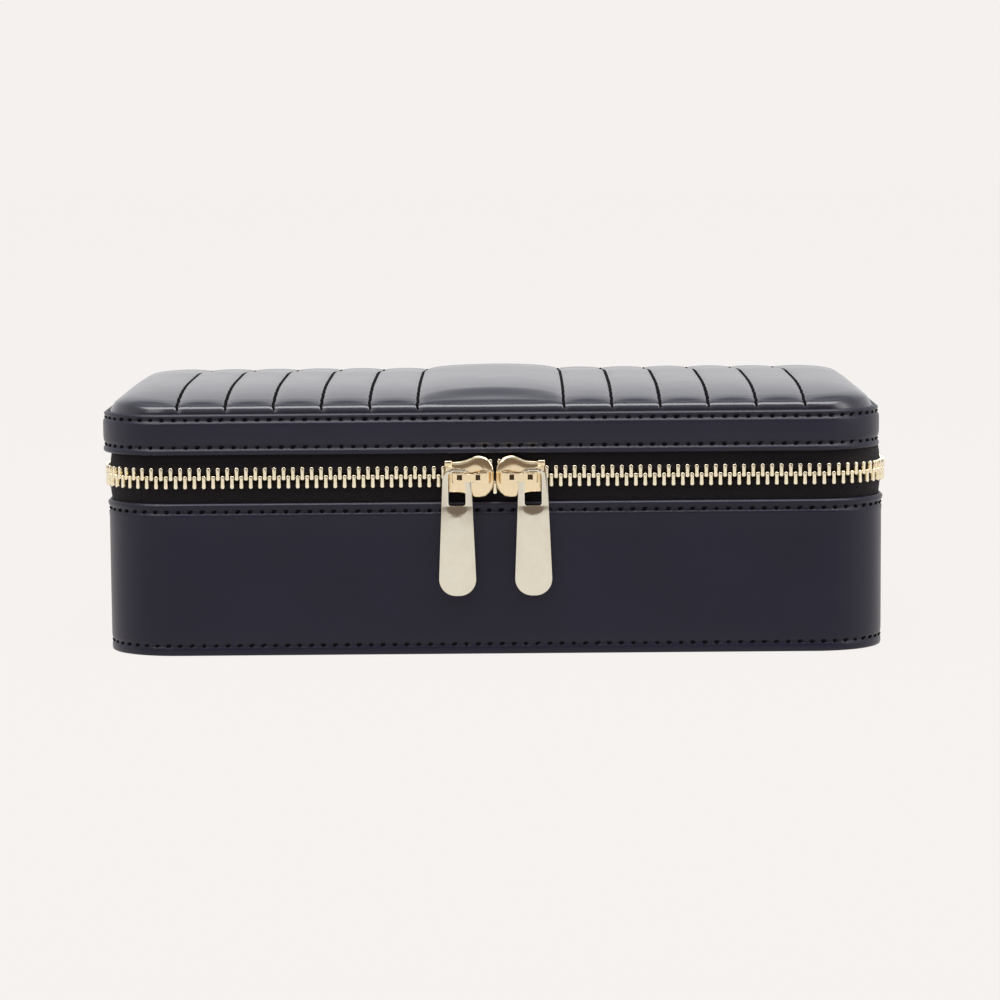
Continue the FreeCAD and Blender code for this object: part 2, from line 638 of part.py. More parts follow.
def make_slider(side, name):
    """Make one slider: body, crown and lock spring. Its wide end faces the middle."""
    middle = ZIP_MIDDLE
    outline = (
        ("0", "slider_wide * 0.5"),
        ("slider_length * 0.12", "slider_wide * 0.86"),
        ("slider_length * 0.33", "slider_wide"),
        ("slider_length * 0.66", "slider_narrow * 1.04"),
        ("slider_length", "slider_narrow"),
    )
    loop = [(along(side, x), f"{middle} + {h}") for x, h in outline]
    loop += [(along(side, x), f"{middle} - {h}") for x, h in reversed(outline)]

    body = add_part("PartDesign::Body", f"{name}_slider_body")
    front = sketch_on(body, f"{name}_front_plate", "XZ_Plane", PLATE_FACE)
    polygon(front, loop)
    pad(body, front, "plate_front")
    tip = abs(value(along(side, "slider_length")))
    soften(body, "Fillet", f"{name}_shoulders", "shoulder_radius",
           lambda edge: edge.BoundBox.YLength > 1 and abs(edge.BoundBox.Center.x) < tip - 0.1)

    throat = "tooth_depth + 2 * plate_play"
    post = sketch_on(body, f"{name}_post", "XZ_Plane", f"{PLATE_FACE} - ({throat})")
    start, end = along(side, "post_start"), along(side, "post_end")
    polygon(post, (
        (start, f"{middle} - post_start_half"), (end, f"{middle} - post_end_half"),
        (end, f"{middle} + post_end_half"), (start, f"{middle} + post_start_half"),
    ))
    pad(body, post, throat)
    rear = sketch_on(body, f"{name}_back_plate", "XZ_Plane", f"{PLATE_FACE} - ({throat}) - plate_back")
    polygon(rear, loop)
    pad(body, rear, "plate_back")

    for plane, way in (
        (f"{PLATE_FACE} - flange_depth", "front"), (f"{PLATE_FACE} - ({throat})", "back"),
    ):
        for up, sign in (("upper", "+"), ("lower", "-")):
            lip = sketch_on(body, f"{name}_{way}_{up}_flange", "XZ_Plane", plane)
            outer = [(along(side, x), f"{middle} {sign} {h}") for x, h in outline[3:]]
            inner = [(along(side, x), f"{middle} {sign} ({h} - flange_width)")
                     for x, h in reversed(outline[3:])]
            polygon(lip, outer + inner)
            pad(body, lip, "flange_depth")

    crown = add_part("PartDesign::Body", f"{name}_slider_crown")
    bar = sketch_on(crown, f"{name}_crown_bar", "XZ_Plane", f"{CROWN_FACE} + crown_tunnel")
    ends = (along(side, "0.5"), f"{side} * (pull_axis + foot_half + 0.2)")
    rectangle(bar, ends[0], ends[1], f"{middle} - crown_half", f"{middle} + crown_half")
    pad(crown, bar, "crown_depth")
    soften(crown, "Fillet", f"{name}_crown_edge", "0.5",
           lies_on_face(f"{CROWN_FACE} + crown_tunnel + crown_depth"))
    drop = f"{middle} - pull_axis_drop"
    for label, centre in (("outer", "pull_axis"), ("inner", "inner_foot")):
        foot = sketch_on(crown, f"{name}_{label}_foot", "XZ_Plane", CROWN_FACE)
        rectangle(foot, f"{side} * ({centre} - foot_half)", f"{side} * ({centre} + foot_half)",
                  f"{drop} - foot_half", f"{drop} + foot_half")
        pad(crown, foot, "crown_tunnel")
    for label, near, far in (("outer", "8.2", "9.9"), ("inner", "3.6", "4.9")):
        dent = sketch_on(crown, f"{name}_{label}_dent", "XZ_Plane",
                         f"{CROWN_FACE} + crown_tunnel + crown_depth - dent_depth")
        rectangle(dent, along(side, near), along(side, far),
                  f"{middle} - dent_low", f"{middle} + dent_high")
        pocket(crown, dent, "1")

    spring = [along(side, "spring_start"), along(side, "spring_end")]
    if side < 0:
        spring.reverse()
    box(f"{name}_lock_spring", *spring, f"-({CROWN_FACE} + spring_thickness)",
        f"-({CROWN_FACE})", f"{middle} - 1.3", f"{middle} + 0.3")


def make_pull(side, name):
    """Make one pull tab, hanging from the outer foot of its slider's crown."""
    axis = f"{ZIP_MIDDLE} - pull_axis_drop"
    centre = f"{side} * pull_axis"
    pull = add_part("PartDesign::Body", f"{name}_pull_tab")
    plate = sketch_on(pull, f"{name}_pull_plate", "XZ_Plane", f"{CROWN_FACE} + pull_play")
    polygon(plate, (
        (f"{centre} - pull_tail_half", f"{axis} - pull_tail"),
        (f"{centre} + pull_tail_half", f"{axis} - pull_tail"),
        (f"{centre} + pull_neck_half", f"{axis} + pull_top"),
        (f"{centre} - pull_neck_half", f"{axis} + pull_top"),
    ))
    pad(pull, plate, "pull_thickness")
    top = value(f"{axis} + pull_top")
    low = value(f"{axis} - pull_tail")
    soften(pull, "Fillet", f"{name}_pull_tail", "pull_tail_half - 0.4",
           lambda edge: edge.BoundBox.YLength > 1 and abs(edge.BoundBox.Center.z - low) < 1e-3)
    soften(pull, "Fillet", f"{name}_pull_head", "pull_neck_half - 1.0",
           lambda edge: edge.BoundBox.YLength > 1 and abs(edge.BoundBox.Center.z - top) < 1e-3)
    hole = sketch_on(pull, f"{name}_pull_hole", "XZ_Plane", f"{CROWN_FACE} + pull_play")
    rectangle(hole, f"{centre} - hole_half", f"{centre} + hole_half",
              f"{axis} - hole_below", f"{axis} + hole_above")
    pocket(pull, hole, "pull_thickness + 1")
    reach = value("hole_half") + 1e-3
    middle = value(centre)
    soften(pull, "Fillet", f"{name}_hole_corners", "0.8",
           lambda edge: edge.BoundBox.YLength > 1 and abs(edge.BoundBox.Center.x - middle) < reach
           and abs(edge.BoundBox.Center.x - middle) > reach - 2e-3)
    face = f"{CROWN_FACE} + pull_play + pull_thickness"
    soften(pull, "Chamfer", f"{name}_pull_bevel", "0.2", lies_on_face(face))


# ---------------------------------------------------------------- hinge

def make_hinge():
    """Make the leather spine and its inner lining, which bend as the lid opens."""
    half = "spine_width / 2"
    outer = "case_depth / 2"
    box("spine_leather", f"-{half}", half, f"{outer} - skin_thickness", outer,
        "base_height", LID_BOTTOM)
    box("spine_lining", f"-{half}", half, f"{outer} - skin_thickness - lining_thickness",
        f"{outer} - skin_thickness", "base_height + 0.2", f"{LID_BOTTOM} - 0.2")


def check_and_write():
    """Refuse any failed object, then write one file for each sub-part."""
    doc.recompute()
    for item in doc.Objects:
        if {"Invalid", "Error"} & set(item.State):
            raise RuntimeError(f"{item.Label}: {item.State}")
    for item in parts:
        if item.Shape.isNull() or not item.Shape.isValid():
            raise RuntimeError(f"{item.Label} has no valid shape")
    os.makedirs("parts", exist_ok=True)
    for item in parts:
        item.Shape.exportStep(f"parts/{item.Label}.step")
        print(f"{item.Label}: {len(item.Shape.Solids)} solid(s), {item.Shape.Volume:.1f} mm3")


make_base_shell()
make_ring_tray()
make_dividers()
make_lid_shell()
make_mirror()
make_necklace_fittings()
make_zip()
for side_sign, side_name in ((-1, "left"), (1, "right")):
    make_slider(side_sign, side_name)
    make_pull(side_sign, side_name)
make_hinge()
check_and_write()
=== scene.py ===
"""Looks of the zip-round leather jewellery case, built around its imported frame.

Everything is in metres in the case's own frame: the origin at the centre of the bottom,
+X to the right, +Y towards the hinge at the back and +Z up.
"""

import json
import logging
import math
from dataclasses import dataclass, field
from enum import Enum
from typing import Callable, Iterable

import bmesh
import bpy
from bmesh.types import BMEdge, BMesh, BMFace, BMVert
from bpy.types import Material, NodeSocket, NodeTree
from mathutils import Matrix, Vector, noise


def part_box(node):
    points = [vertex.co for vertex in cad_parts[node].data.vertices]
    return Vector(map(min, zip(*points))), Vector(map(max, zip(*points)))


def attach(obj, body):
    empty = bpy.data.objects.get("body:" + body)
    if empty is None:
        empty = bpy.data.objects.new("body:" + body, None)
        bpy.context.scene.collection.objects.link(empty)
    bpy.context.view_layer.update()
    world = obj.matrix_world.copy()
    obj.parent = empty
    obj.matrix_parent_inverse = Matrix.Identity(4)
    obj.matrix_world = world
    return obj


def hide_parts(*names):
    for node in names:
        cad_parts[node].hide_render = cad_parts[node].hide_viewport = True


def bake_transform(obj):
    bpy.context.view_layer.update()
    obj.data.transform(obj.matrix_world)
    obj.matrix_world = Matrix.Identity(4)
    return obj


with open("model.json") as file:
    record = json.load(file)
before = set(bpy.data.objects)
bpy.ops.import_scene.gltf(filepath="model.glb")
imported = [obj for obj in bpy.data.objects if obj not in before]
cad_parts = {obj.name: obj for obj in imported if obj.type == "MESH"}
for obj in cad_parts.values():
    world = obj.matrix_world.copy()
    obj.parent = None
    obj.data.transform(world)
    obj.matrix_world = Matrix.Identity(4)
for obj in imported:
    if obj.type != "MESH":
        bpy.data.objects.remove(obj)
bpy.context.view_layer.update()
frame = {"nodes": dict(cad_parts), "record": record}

LOG = logging.getLogger("jewellery_case")
MM = 0.001
TOUCH = 1e-6
"""Places nearer than this are the same but for rounding."""

Colour = tuple[float, float, float]
Point = tuple[float, float]


class Body(Enum):
    """The moving bodies that pieces ride on."""

    BASE = "base"
    LID = "lid"
    LEFT_SLIDER = "left_slider"
    RIGHT_SLIDER = "right_slider"
    LEFT_PULL = "left_pull"
    RIGHT_PULL = "right_pull"


class Slot(Enum):
    """The record's material slots."""

    LEATHER = "navy_leather"
    QUILT = "quilted_leather"
    SUEDE = "suede_lining"
    TAPE = "zip_tape"
    TEETH = "zip_teeth"
    SLIDER = "slider_gold"
    PULL = "pull_gold"
    MIRROR = "mirror_glass"
    HOOK = "hook_brass"
    ELASTIC = "elastic"
    BOARD = "board"
    FOAM = "foam"
    SPRING = "spring_steel"


# ---------------------------------------------------------------- finishes


class Nodes:
    """A short way to write one node tree."""

    def __init__(self, tree: NodeTree) -> None:
        """Keep the tree that nodes are added to."""
        self.tree = tree

    def add(self, kind: str, **settings: object) -> bpy.types.Node:
        """Add a node.

        Args:
            kind: The node's type name without its "ShaderNode" start.
            settings: Properties set on the node.

        Returns:
            The new node.
        """
        node = self.tree.nodes.new(f"ShaderNode{kind}")
        for name, setting in settings.items():
            setattr(node, name, setting)
        return node

    def link(self, source: NodeSocket, target: NodeSocket) -> None:
        """Join two sockets."""
        self.tree.links.new(source, target)

    def math(self, operation: str, first: object, second: object = 0.0) -> NodeSocket:
        """Add a Math node.

        Args:
            operation: The node's operation.
            first: A socket or a number.
            second: A socket or a number.

        Returns:
            The node's output.
        """
        node = self.add("Math", operation=operation)
        for socket, value in zip(node.inputs, (first, second)):
            if isinstance(value, NodeSocket):
                self.link(value, socket)
            else:
                socket.default_value = value
        return node.outputs[0]

    def noise(self, vector: NodeSocket, scale: float, detail: float = 3.0,
              roughness: float = 0.55) -> NodeSocket:
        """Add a Noise Texture.

        Args:
            vector: The coordinates.
            scale: The texture's scale, per metre.
            detail: The texture's detail.
            roughness: The texture's roughness.

        Returns:
            The noise value.
        """
        node = self.add("TexNoise")
        self.link(vector, node.inputs["Vector"])
        node.inputs["Scale"].default_value = scale
        node.inputs["Detail"].default_value = detail
        node.inputs["Roughness"].default_value = roughness
        return node.outputs["Fac"]

    def mix(self, factor: NodeSocket, low: Colour, high: Colour) -> NodeSocket:
        """Blend two colours by a mask.

        Args:
            factor: The mask, 0 to 1.
            low: The colour at 0.
            high: The colour at 1.

        Returns:
            The blended colour.
        """
        node = self.add("Mix", data_type="RGBA")
        self.link(factor, node.inputs["Factor"])
        node.inputs["A"].default_value = (*low, 1.0)
        node.inputs["B"].default_value = (*high, 1.0)
        return node.outputs["Result"]

    def ramp(self, value: NodeSocket, start: float, end: float) -> NodeSocket:
        """Give a soft mask that goes from 0 at the start to 1 at the end.

        Args:
            value: The value that the mask follows.
            start: Where the mask is 0.
            end: Where the mask is 1.

        Returns:
            The mask.
        """
        node = self.add("MapRange", interpolation_type="SMOOTHSTEP")
        self.link(value, node.inputs["Value"])
        node.inputs["From Min"].default_value = start
        node.inputs["From Max"].default_value = end
        return node.outputs["Result"]

    def spread(self, value: NodeSocket, low: float, high: float) -> NodeSocket:
        """Map a 0 to 1 value onto a range.

        Args:
            value: The value.
            low: The result at 0.
            high: The result at 1.

        Returns:
            The mapped value.
        """
        node = self.add("MapRange")
        self.link(value, node.inputs["Value"])
        node.inputs["To Min"].default_value = low
        node.inputs["To Max"].default_value = high
        return node.outputs["Result"]


def effect_group(name: str, outputs: Iterable[str],
                 fill: Callable[[Nodes, NodeSocket, NodeSocket], Iterable[NodeSocket]]) -> NodeTree:
    """Build one shared surface effect as a node group.

    Args:
        name: The group's name.
        outputs: Names of its value outputs.
        fill: Builds the effect from the Vector and Scale inputs and gives one socket for
            each output.

    Returns:
        The group.
    """
    tree = bpy.data.node_groups.new(name, "ShaderNodeTree")
    tree.interface.new_socket("Vector", in_out="INPUT", socket_type="NodeSocketVector")
    scale = tree.interface.new_socket("Scale", in_out="INPUT", socket_type="NodeSocketFloat")
    scale.default_value = 1.0
    for output in outputs:
        tree.interface.new_socket(output, in_out="OUTPUT", socket_type="NodeSocketFloat")
    nodes = Nodes(tree)
    entry = tree.nodes.new("NodeGroupInput")
    leave = tree.nodes.new("NodeGroupOutput")
    scaled = nodes.add("VectorMath", operation="SCALE")
    nodes.link(entry.outputs["Vector"], scaled.inputs[0])
    nodes.link(entry.outputs["Scale"], scaled.inputs["Scale"])
    made = fill(nodes, scaled.outputs[0], entry.outputs["Vector"])
    for output, socket in zip(outputs, made):
        nodes.link(socket, leave.inputs[output])
    return tree


def fill_grain(nodes: Nodes, scaled: NodeSocket, plain: NodeSocket) -> tuple[NodeSocket, ...]:
    """Fill the leather grain: fine pebbles, pores, soft waves and slow colour mottle.

    Args:
        nodes: The group's nodes.
        scaled: Coordinates times the grain scale.
        plain: Coordinates in metres.

    Returns:
        The height, the mottle and the handling wear.
    """
    pebble = nodes.add("TexVoronoi", feature="SMOOTH_F1")
    nodes.link(scaled, pebble.inputs["Vector"])
    pebble.inputs["Scale"].default_value = 2300.0
    pores = nodes.noise(scaled, 5200.0, 2.0)
    folds = nodes.noise(scaled, 420.0, 4.0)
    height = nodes.math("MULTIPLY", pebble.outputs["Distance"], 0.35)
    height = nodes.math("ADD", height, nodes.math("MULTIPLY", pores, 0.25))
    height = nodes.math("ADD", height, nodes.math("MULTIPLY", folds, 0.6))
    mottle = nodes.noise(plain, 38.0, 4.0, 0.6)
    wear = nodes.noise(plain, 130.0, 6.0, 0.7)
    return height, mottle, wear


def fill_weave(nodes: Nodes, scaled: NodeSocket, plain: NodeSocket) -> tuple[NodeSocket, ...]:
    """Fill the tape's weave: warp ribs that run along the tape, crossed by finer wefts.

    Args:
        nodes: The group's nodes.
        scaled: Coordinates times the weave scale.
        plain: Coordinates in metres.

    Returns:
        The height and the fuzz.
    """
    parts = nodes.add("SeparateXYZ")
    nodes.link(scaled, parts.inputs[0])
    pick = 2.0 * math.pi / (0.55 * MM)
    along = nodes.math("ADD", parts.outputs["X"], parts.outputs["Y"])
    weft = nodes.math("SINE", nodes.math("MULTIPLY", along, pick))
    warp = nodes.math("SINE", nodes.math("MULTIPLY", parts.outputs["Z"], pick * 0.9))
    height = nodes.math("MULTIPLY", weft, warp)
    height = nodes.math("ADD", nodes.math("MULTIPLY", height, 0.35), 0.5)
    ribs = nodes.math("MULTIPLY", nodes.math("ABSOLUTE", warp), 0.2)
    height = nodes.math("ADD", height, ribs)
    fuzz = nodes.noise(plain, 2600.0, 4.0, 0.7)
    return height, fuzz


def fill_nap(nodes: Nodes, scaled: NodeSocket, plain: NodeSocket) -> tuple[NodeSocket, ...]:
    """Fill the suede's nap: short fibres and the patches that a finger leaves.

    Args:
        nodes: The group's nodes.
        scaled: Coordinates times the nap scale.
        plain: Coordinates in metres.

    Returns:
        The height and the brushed patches.
    """
    fibres = nodes.noise(scaled, 3800.0, 5.0, 0.8)
    clumps = nodes.noise(scaled, 900.0, 3.0)
    height = nodes.math("ADD", nodes.math("MULTIPLY", fibres, 0.7),
                        nodes.math("MULTIPLY", clumps, 0.3))
    patches = nodes.noise(plain, 55.0, 3.0, 0.6)
    return height, patches


def fill_polish(nodes: Nodes, scaled: NodeSocket, plain: NodeSocket) -> tuple[NodeSocket, ...]:
    """Fill the metal's polish: cloudy smears and hairline scratches.

    Args:
        nodes: The group's nodes.
        scaled: Coordinates times the scratch scale.
        plain: Coordinates in metres.

    Returns:
        The smear and the scratch height.
    """
    smear = nodes.noise(plain, 260.0, 4.0, 0.65)
    stretch = nodes.add("Mapping")
    stretch.inputs["Scale"].default_value = (6.0, 6.0, 0.6)
    stretch.inputs["Rotation"].default_value = (0.15, 0.1, 0.25)
    nodes.link(scaled, stretch.inputs["Vector"])
    scratch = nodes.noise(stretch.outputs[0], 900.0, 3.0, 0.6)
    return smear, scratch


class Effects:
    """The shared surface effects, each built once."""

    def __init__(self) -> None:
        """Build the node groups."""
        self.grain = effect_group("leather grain", ("Height", "Mottle", "Wear"), fill_grain)
        self.weave = effect_group("tape weave", ("Height", "Fuzz"), fill_weave)
        self.nap = effect_group("suede nap", ("Height", "Patches"), fill_nap)
        self.polish = effect_group("metal polish", ("Smear", "Scratch"), fill_polish)


class Surface:
    """One material while it is being built."""

    def __init__(self, name: str) -> None:
        """Start a material with a Principled shader.

        Args:
            name: The material's name.
        """
        self.material = bpy.data.materials.new(name)
        self.material.use_nodes = True
        self.nodes = Nodes(self.material.node_tree)
        self.shader = self.material.node_tree.nodes["Principled BSDF"]
        self.place = self.nodes.add("TexCoord").outputs["Object"]

    def effect(self, group: NodeTree, scale: float = 1.0) -> bpy.types.NodeOutputs:
        """Add a shared effect.

        Args:
            group: The effect's node group.
            scale: The effect's scale.

        Returns:
            The group's outputs.
        """
        node = self.nodes.add("Group")
        node.node_tree = group
        node.inputs["Scale"].default_value = scale
        self.nodes.link(self.place, node.inputs["Vector"])
        return node.outputs

    def bump(self, height: NodeSocket, strength: float, depth: float) -> None:
        """Give the surface relief.

        Args:
            height: The height mask.
            strength: The bump's strength, 0 to 1.
            depth: The relief's depth in metres.
        """
        node = self.nodes.add("Bump")
        node.inputs["Strength"].default_value = strength
        node.inputs["Distance"].default_value = depth
        self.nodes.link(height, node.inputs["Height"])
        self.nodes.link(node.outputs["Normal"], self.shader.inputs["Normal"])

    def feed(self, source: NodeSocket, name: str) -> None:
        """Link a colour or mask to one of the shader's inputs."""
        self.nodes.link(source, self.shader.inputs[name])

    def set(self, **values: float | tuple[float, ...]) -> None:
        """Set the shader's inputs, named with underscores for spaces."""
        for name, value in values.items():
            self.shader.inputs[name.replace("_", " ")].default_value = value


@dataclass(frozen=True)
class LeatherFinish:
    """Smooth dyed box calf with a waxed surface."""

    name: str
    dark: Colour = (0.0040, 0.0034, 0.0110)
    light: Colour = (0.0080, 0.0070, 0.0175)
    gloss: tuple[float, float] = (0.30, 0.42)
    grain: float = 0.22
    coat: float = 0.0
    coat_blur: float = 0.26
    index: float = 1.37

    def build(self, effects: Effects) -> Material:
        """Make the material.

        Args:
            effects: The shared effects.

        Returns:
            The material.
        """
        surface = Surface(self.name)
        height, mottle, wear = surface.effect(effects.grain).values()
        surface.feed(surface.nodes.mix(mottle, self.dark, self.light), "Base Color")
        surface.feed(surface.nodes.spread(wear, *self.gloss), "Roughness")
        surface.bump(height, self.grain, 0.06 * MM)
        surface.set(IOR=self.index, Coat_Weight=self.coat, Coat_Roughness=self.coat_blur)
        return surface.material


@dataclass(frozen=True)
class SuedeFinish:
    """Short-napped lining suede."""

    name: str
    dark: Colour
    light: Colour

    def build(self, effects: Effects) -> Material:
        """Make the material.

        Args:
            effects: The shared effects.

        Returns:
            The material.
        """
        surface = Surface(self.name)
        height, patches = surface.effect(effects.nap).values()
        surface.feed(surface.nodes.mix(patches, self.dark, self.light), "Base Color")
        surface.feed(surface.nodes.spread(patches, 0.82, 0.95), "Roughness")
        surface.bump(height, 0.55, 0.12 * MM)
        surface.set(Sheen_Weight=0.35, Sheen_Roughness=0.45, Specular_IOR_Level=0.2)
        return surface.material


@dataclass(frozen=True)
class TapeFinish:
    """Woven black zip tape."""

    name: str
    dark: Colour
    light: Colour
    relief: float = 0.18

    def build(self, effects: Effects) -> Material:
        """Make the material.

        Args:
            effects: The shared effects.

        Returns:
            The material.
        """
        surface = Surface(self.name)
        height, fuzz = surface.effect(effects.weave).values()
        surface.feed(surface.nodes.mix(height, self.dark, self.light), "Base Color")
        surface.feed(surface.nodes.spread(fuzz, 0.75, 0.95), "Roughness")
        surface.bump(height, 0.7, self.relief * MM)
        surface.set(Sheen_Weight=0.06, Sheen_Roughness=0.4, Specular_IOR_Level=0.2)
        return surface.material


@dataclass(frozen=True)
class MetalFinish:
    """Plated and polished metal."""

    name: str
    colour: Colour
    # Mixed in by the smear mask: real tarnish on the plated parts, and painted shade where this
    # finish colours the crown's dents.
    tarnish_and_shade: Colour
    gloss: tuple[float, float] = (0.09, 0.2)
    scratch: float = 0.05

    def build(self, effects: Effects) -> Material:
        """Make the material.

        Args:
            effects: The shared effects.

        Returns:
            The material.
        """
        surface = Surface(self.name)
        smear, scratch = surface.effect(effects.polish).values()
        surface.feed(surface.nodes.mix(smear, self.colour, self.tarnish_and_shade), "Base Color")
        surface.feed(surface.nodes.spread(smear, *self.gloss), "Roughness")
        surface.bump(scratch, self.scratch, 0.02 * MM)
        surface.set(Metallic=1.0)
        return surface.material


@dataclass(frozen=True)
class ThreadFinish:
    """Waxed sewing thread."""

    name: str
    colour: Colour

    def build(self, effects: Effects) -> Material:
        """Make the material.

        Args:
            effects: The shared effects.

        Returns:
            The material.
        """
        surface = Surface(self.name)
        height, fuzz = surface.effect(effects.weave, 2.4).values()
        lighter = tuple(min(1.0, part * 1.8) for part in self.colour)
        surface.feed(surface.nodes.mix(fuzz, self.colour, lighter), "Base Color")
        surface.feed(surface.nodes.spread(fuzz, 0.6, 0.85), "Roughness")
        surface.bump(height, 0.5, 0.05 * MM)
        surface.set(Specular_IOR_Level=0.08)
        return surface.material


@dataclass(frozen=True)
class MirrorFinish:
    """Silvered glass with a little dust."""

    name: str = "silvered glass"

    def build(self, effects: Effects) -> Material:
        """Make the material.

        Args:
            effects: The shared effects.

        Returns:
            The material.
        """
        surface = Surface(self.name)
        smear, scratch = surface.effect(effects.polish).values()
        surface.feed(surface.nodes.mix(smear, (0.86, 0.88, 0.89), (0.8, 0.83, 0.84)), "Base Color")
        surface.feed(surface.nodes.spread(smear, 0.015, 0.04), "Roughness")
        surface.bump(scratch, 0.01, 0.01 * MM)
        surface.set(Metallic=1.0)
        return surface.material


class Palette:
    """Every material of the case."""

    def __init__(self) -> None:
        """Build the materials."""
        effects = Effects()
        self.leather = LeatherFinish("navy side leather", (0.0051, 0.0044, 0.0138),
                                     (0.0096, 0.0084, 0.0222)).build(effects)
        self.lid_leather = LeatherFinish("navy lid leather", (0.0084, 0.0079, 0.0176),
                                         (0.0142, 0.0132, 0.0264)).build(effects)
        self.quilt = LeatherFinish("navy quilted leather", gloss=(0.2, 0.3), grain=0.12,
                                   coat=0.66, index=1.45).build(effects)
        self.suede = SuedeFinish("dove suede", (0.155, 0.148, 0.150),
                                 (0.235, 0.226, 0.228)).build(effects)
        self.tape = TapeFinish("black zip tape", (0.0016, 0.0009, 0.0016),
                               (0.0085, 0.0058, 0.0080)).build(effects)
        self.elastic = TapeFinish("grey elastic", (0.05, 0.048, 0.05),
                                  (0.13, 0.125, 0.13)).build(effects)
        self.teeth = MetalFinish("pale gold teeth", (0.98, 0.90, 0.72), (0.93, 0.83, 0.60),
                                 (0.12, 0.24)).build(effects)
        self.slider = MetalFinish("gold slider", (0.94, 0.80, 0.56), (0.86, 0.70, 0.45),
                                  (0.1, 0.18)).build(effects)
        self.pull = MetalFinish("light gold pull", (0.83, 0.80, 0.69), (0.74, 0.69, 0.56),
                                (0.1, 0.2), 0.08).build(effects)
        # Painted shade: a dark brown metal laid into the crown's dents, where there is only shade.
        self.painted_recess_shade = MetalFinish("shadowed recess", (0.05, 0.035, 0.02), (0.09, 0.06, 0.035),
                                  (0.35, 0.5)).build(effects)
        self.steel = MetalFinish("spring steel", (0.6, 0.6, 0.6), (0.5, 0.5, 0.5)).build(effects)
        self.mirror = MirrorFinish().build(effects)
        self.thread = ThreadFinish("navy thread", (0.0003, 0.0003, 0.0006)).build(effects)
        self.board = SuedeFinish("grey board", (0.2, 0.18, 0.16), (0.26, 0.24, 0.21)).build(effects)

    def for_slot(self, slot: Slot) -> Material:
        """Give the material of a record slot."""
        return {
            Slot.LEATHER: self.leather, Slot.QUILT: self.quilt, Slot.SUEDE: self.suede,
            Slot.TAPE: self.tape, Slot.TEETH: self.teeth, Slot.SLIDER: self.slider,
            Slot.PULL: self.pull, Slot.MIRROR: self.mirror, Slot.HOOK: self.slider,
            Slot.ELASTIC: self.elastic, Slot.BOARD: self.board, Slot.FOAM: self.board,
            Slot.SPRING: self.steel,
        }[slot]


# ---------------------------------------------------------------- making pieces


def make_piece(name: str, bm: BMesh, material: Material,
               body: Body | None, replaces: Iterable[str] = (), sharp_degrees: float = 40.0,
               painted_shade_material: Material | None = None) -> bpy.types.Object:
    """Turn a finished bmesh into a piece that rides on a body.

    Args:
        name: The piece's name.
        bm: The mesh, which is freed.
        material: Its material.
        body: The body it rides on, or None to leave it unattached.
        replaces: CAD nodes it stands for.
        sharp_degrees: Edges sharper than this stay hard.
        painted_shade_material: The material of the faces whose index is 1.

    Returns:
        The piece.
    """
    bmesh.ops.recalc_face_normals(bm, faces=bm.faces)
    mesh = bpy.data.meshes.new(name)
    bm.to_mesh(mesh)
    bm.free()
    mesh.shade_smooth()
    mesh.set_sharp_from_angle(angle=math.radians(sharp_degrees))
    mesh.materials.append(material)
    # A second material paints shade on the faces whose index is 1.
    if painted_shade_material is not None:
        mesh.materials.append(painted_shade_material)
    piece = bpy.data.objects.new(name, mesh)
    bpy.context.scene.collection.objects.link(piece)
    if body is not None:
        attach(piece, body.value)
    if replaces:
        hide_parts(*replaces)
    LOG.info("%s: %d faces", name, len(mesh.polygons))
    return piece


def round_edges(bm: BMesh, edges: Iterable[BMEdge], width: float,
                segments: int = 2) -> None:
    """Bevel edges with a round profile.

    Args:
        bm: The mesh.
        edges: The edges.
        width: The bevel's width in metres.
        segments: The bevel's segments.
    """
    bmesh.ops.bevel(bm, geom=list(edges), offset=width, offset_type="OFFSET", affect="EDGES",
                    segments=segments, profile=0.5, material=-1, clamp_overlap=True)


def round_corners(bm: BMesh, corners: Iterable[BMVert], width: float,
                  segments: int = 4) -> None:
    """Bevel the corners of a flat face with a round profile.

    Args:
        bm: The mesh.
        corners: The corner vertices.
        width: The bevel's width in metres.
        segments: The bevel's segments.
    """
    bmesh.ops.bevel(bm, geom=list(corners), offset=width, offset_type="OFFSET",
                    affect="VERTICES", segments=segments, profile=0.5, material=-1,
                    clamp_overlap=True)


def sharp_edges(bm: BMesh, degrees: float = 60.0) -> list[BMEdge]:
    """Give the edges where two faces meet at more than an angle."""
    limit = math.radians(degrees)
    return [edge for edge in bm.edges if edge.calc_face_angle(0.0) > limit]


def edges_above(bm: BMesh, height: float) -> list[BMEdge]:
    """Give the edges that lie at a height or above it."""
    return [edge for edge in bm.edges if all(vert.co.z > height - TOUCH for vert in edge.verts)]


def edges_at(verts: Iterable[BMVert]) -> list[BMEdge]:
    """Give every edge that touches some vertices, each once."""
    return list({edge for vert in verts for edge in vert.link_edges})


def verts_of(edges: Iterable[BMEdge]) -> list[BMVert]:
    """Give the vertices of some edges, each once."""
    return list({vert for edge in edges for vert in edge.verts})


def only(items: Iterable[object], kind: type) -> list:
    """Give the items of one kind out of what an operator made."""
    return [item for item in items if isinstance(item, kind)]


def extrude_faces(bm: BMesh, faces: Iterable[BMFace], way: Vector) -> None:
    """Extrude faces by one move.

    Args:
        bm: The mesh.
        faces: The faces.
        way: The move.
    """
    made = bmesh.ops.extrude_face_region(bm, geom=list(faces))["geom"]
    bmesh.ops.translate(bm, verts=only(made, BMVert), vec=way)


def block(low: Vector, high: Vector) -> BMesh:
    """Make a plain block between two corners."""
    bm = bmesh.new()
    add_block(bm, low, high)
    return bm


def add_block(bm: BMesh, low: Vector, high: Vector) -> list[BMVert]:
    """Add a block between two corners to a mesh.

    Args:
        bm: The mesh.
        low: The lowest corner.
        high: The highest corner.

    Returns:
        The block's vertices.
    """
    size = high - low
    place = Matrix.Translation((low + high) / 2) @ Matrix.Diagonal((*size, 1.0))
    return bmesh.ops.create_cube(bm, size=1.0, matrix=place)["verts"]


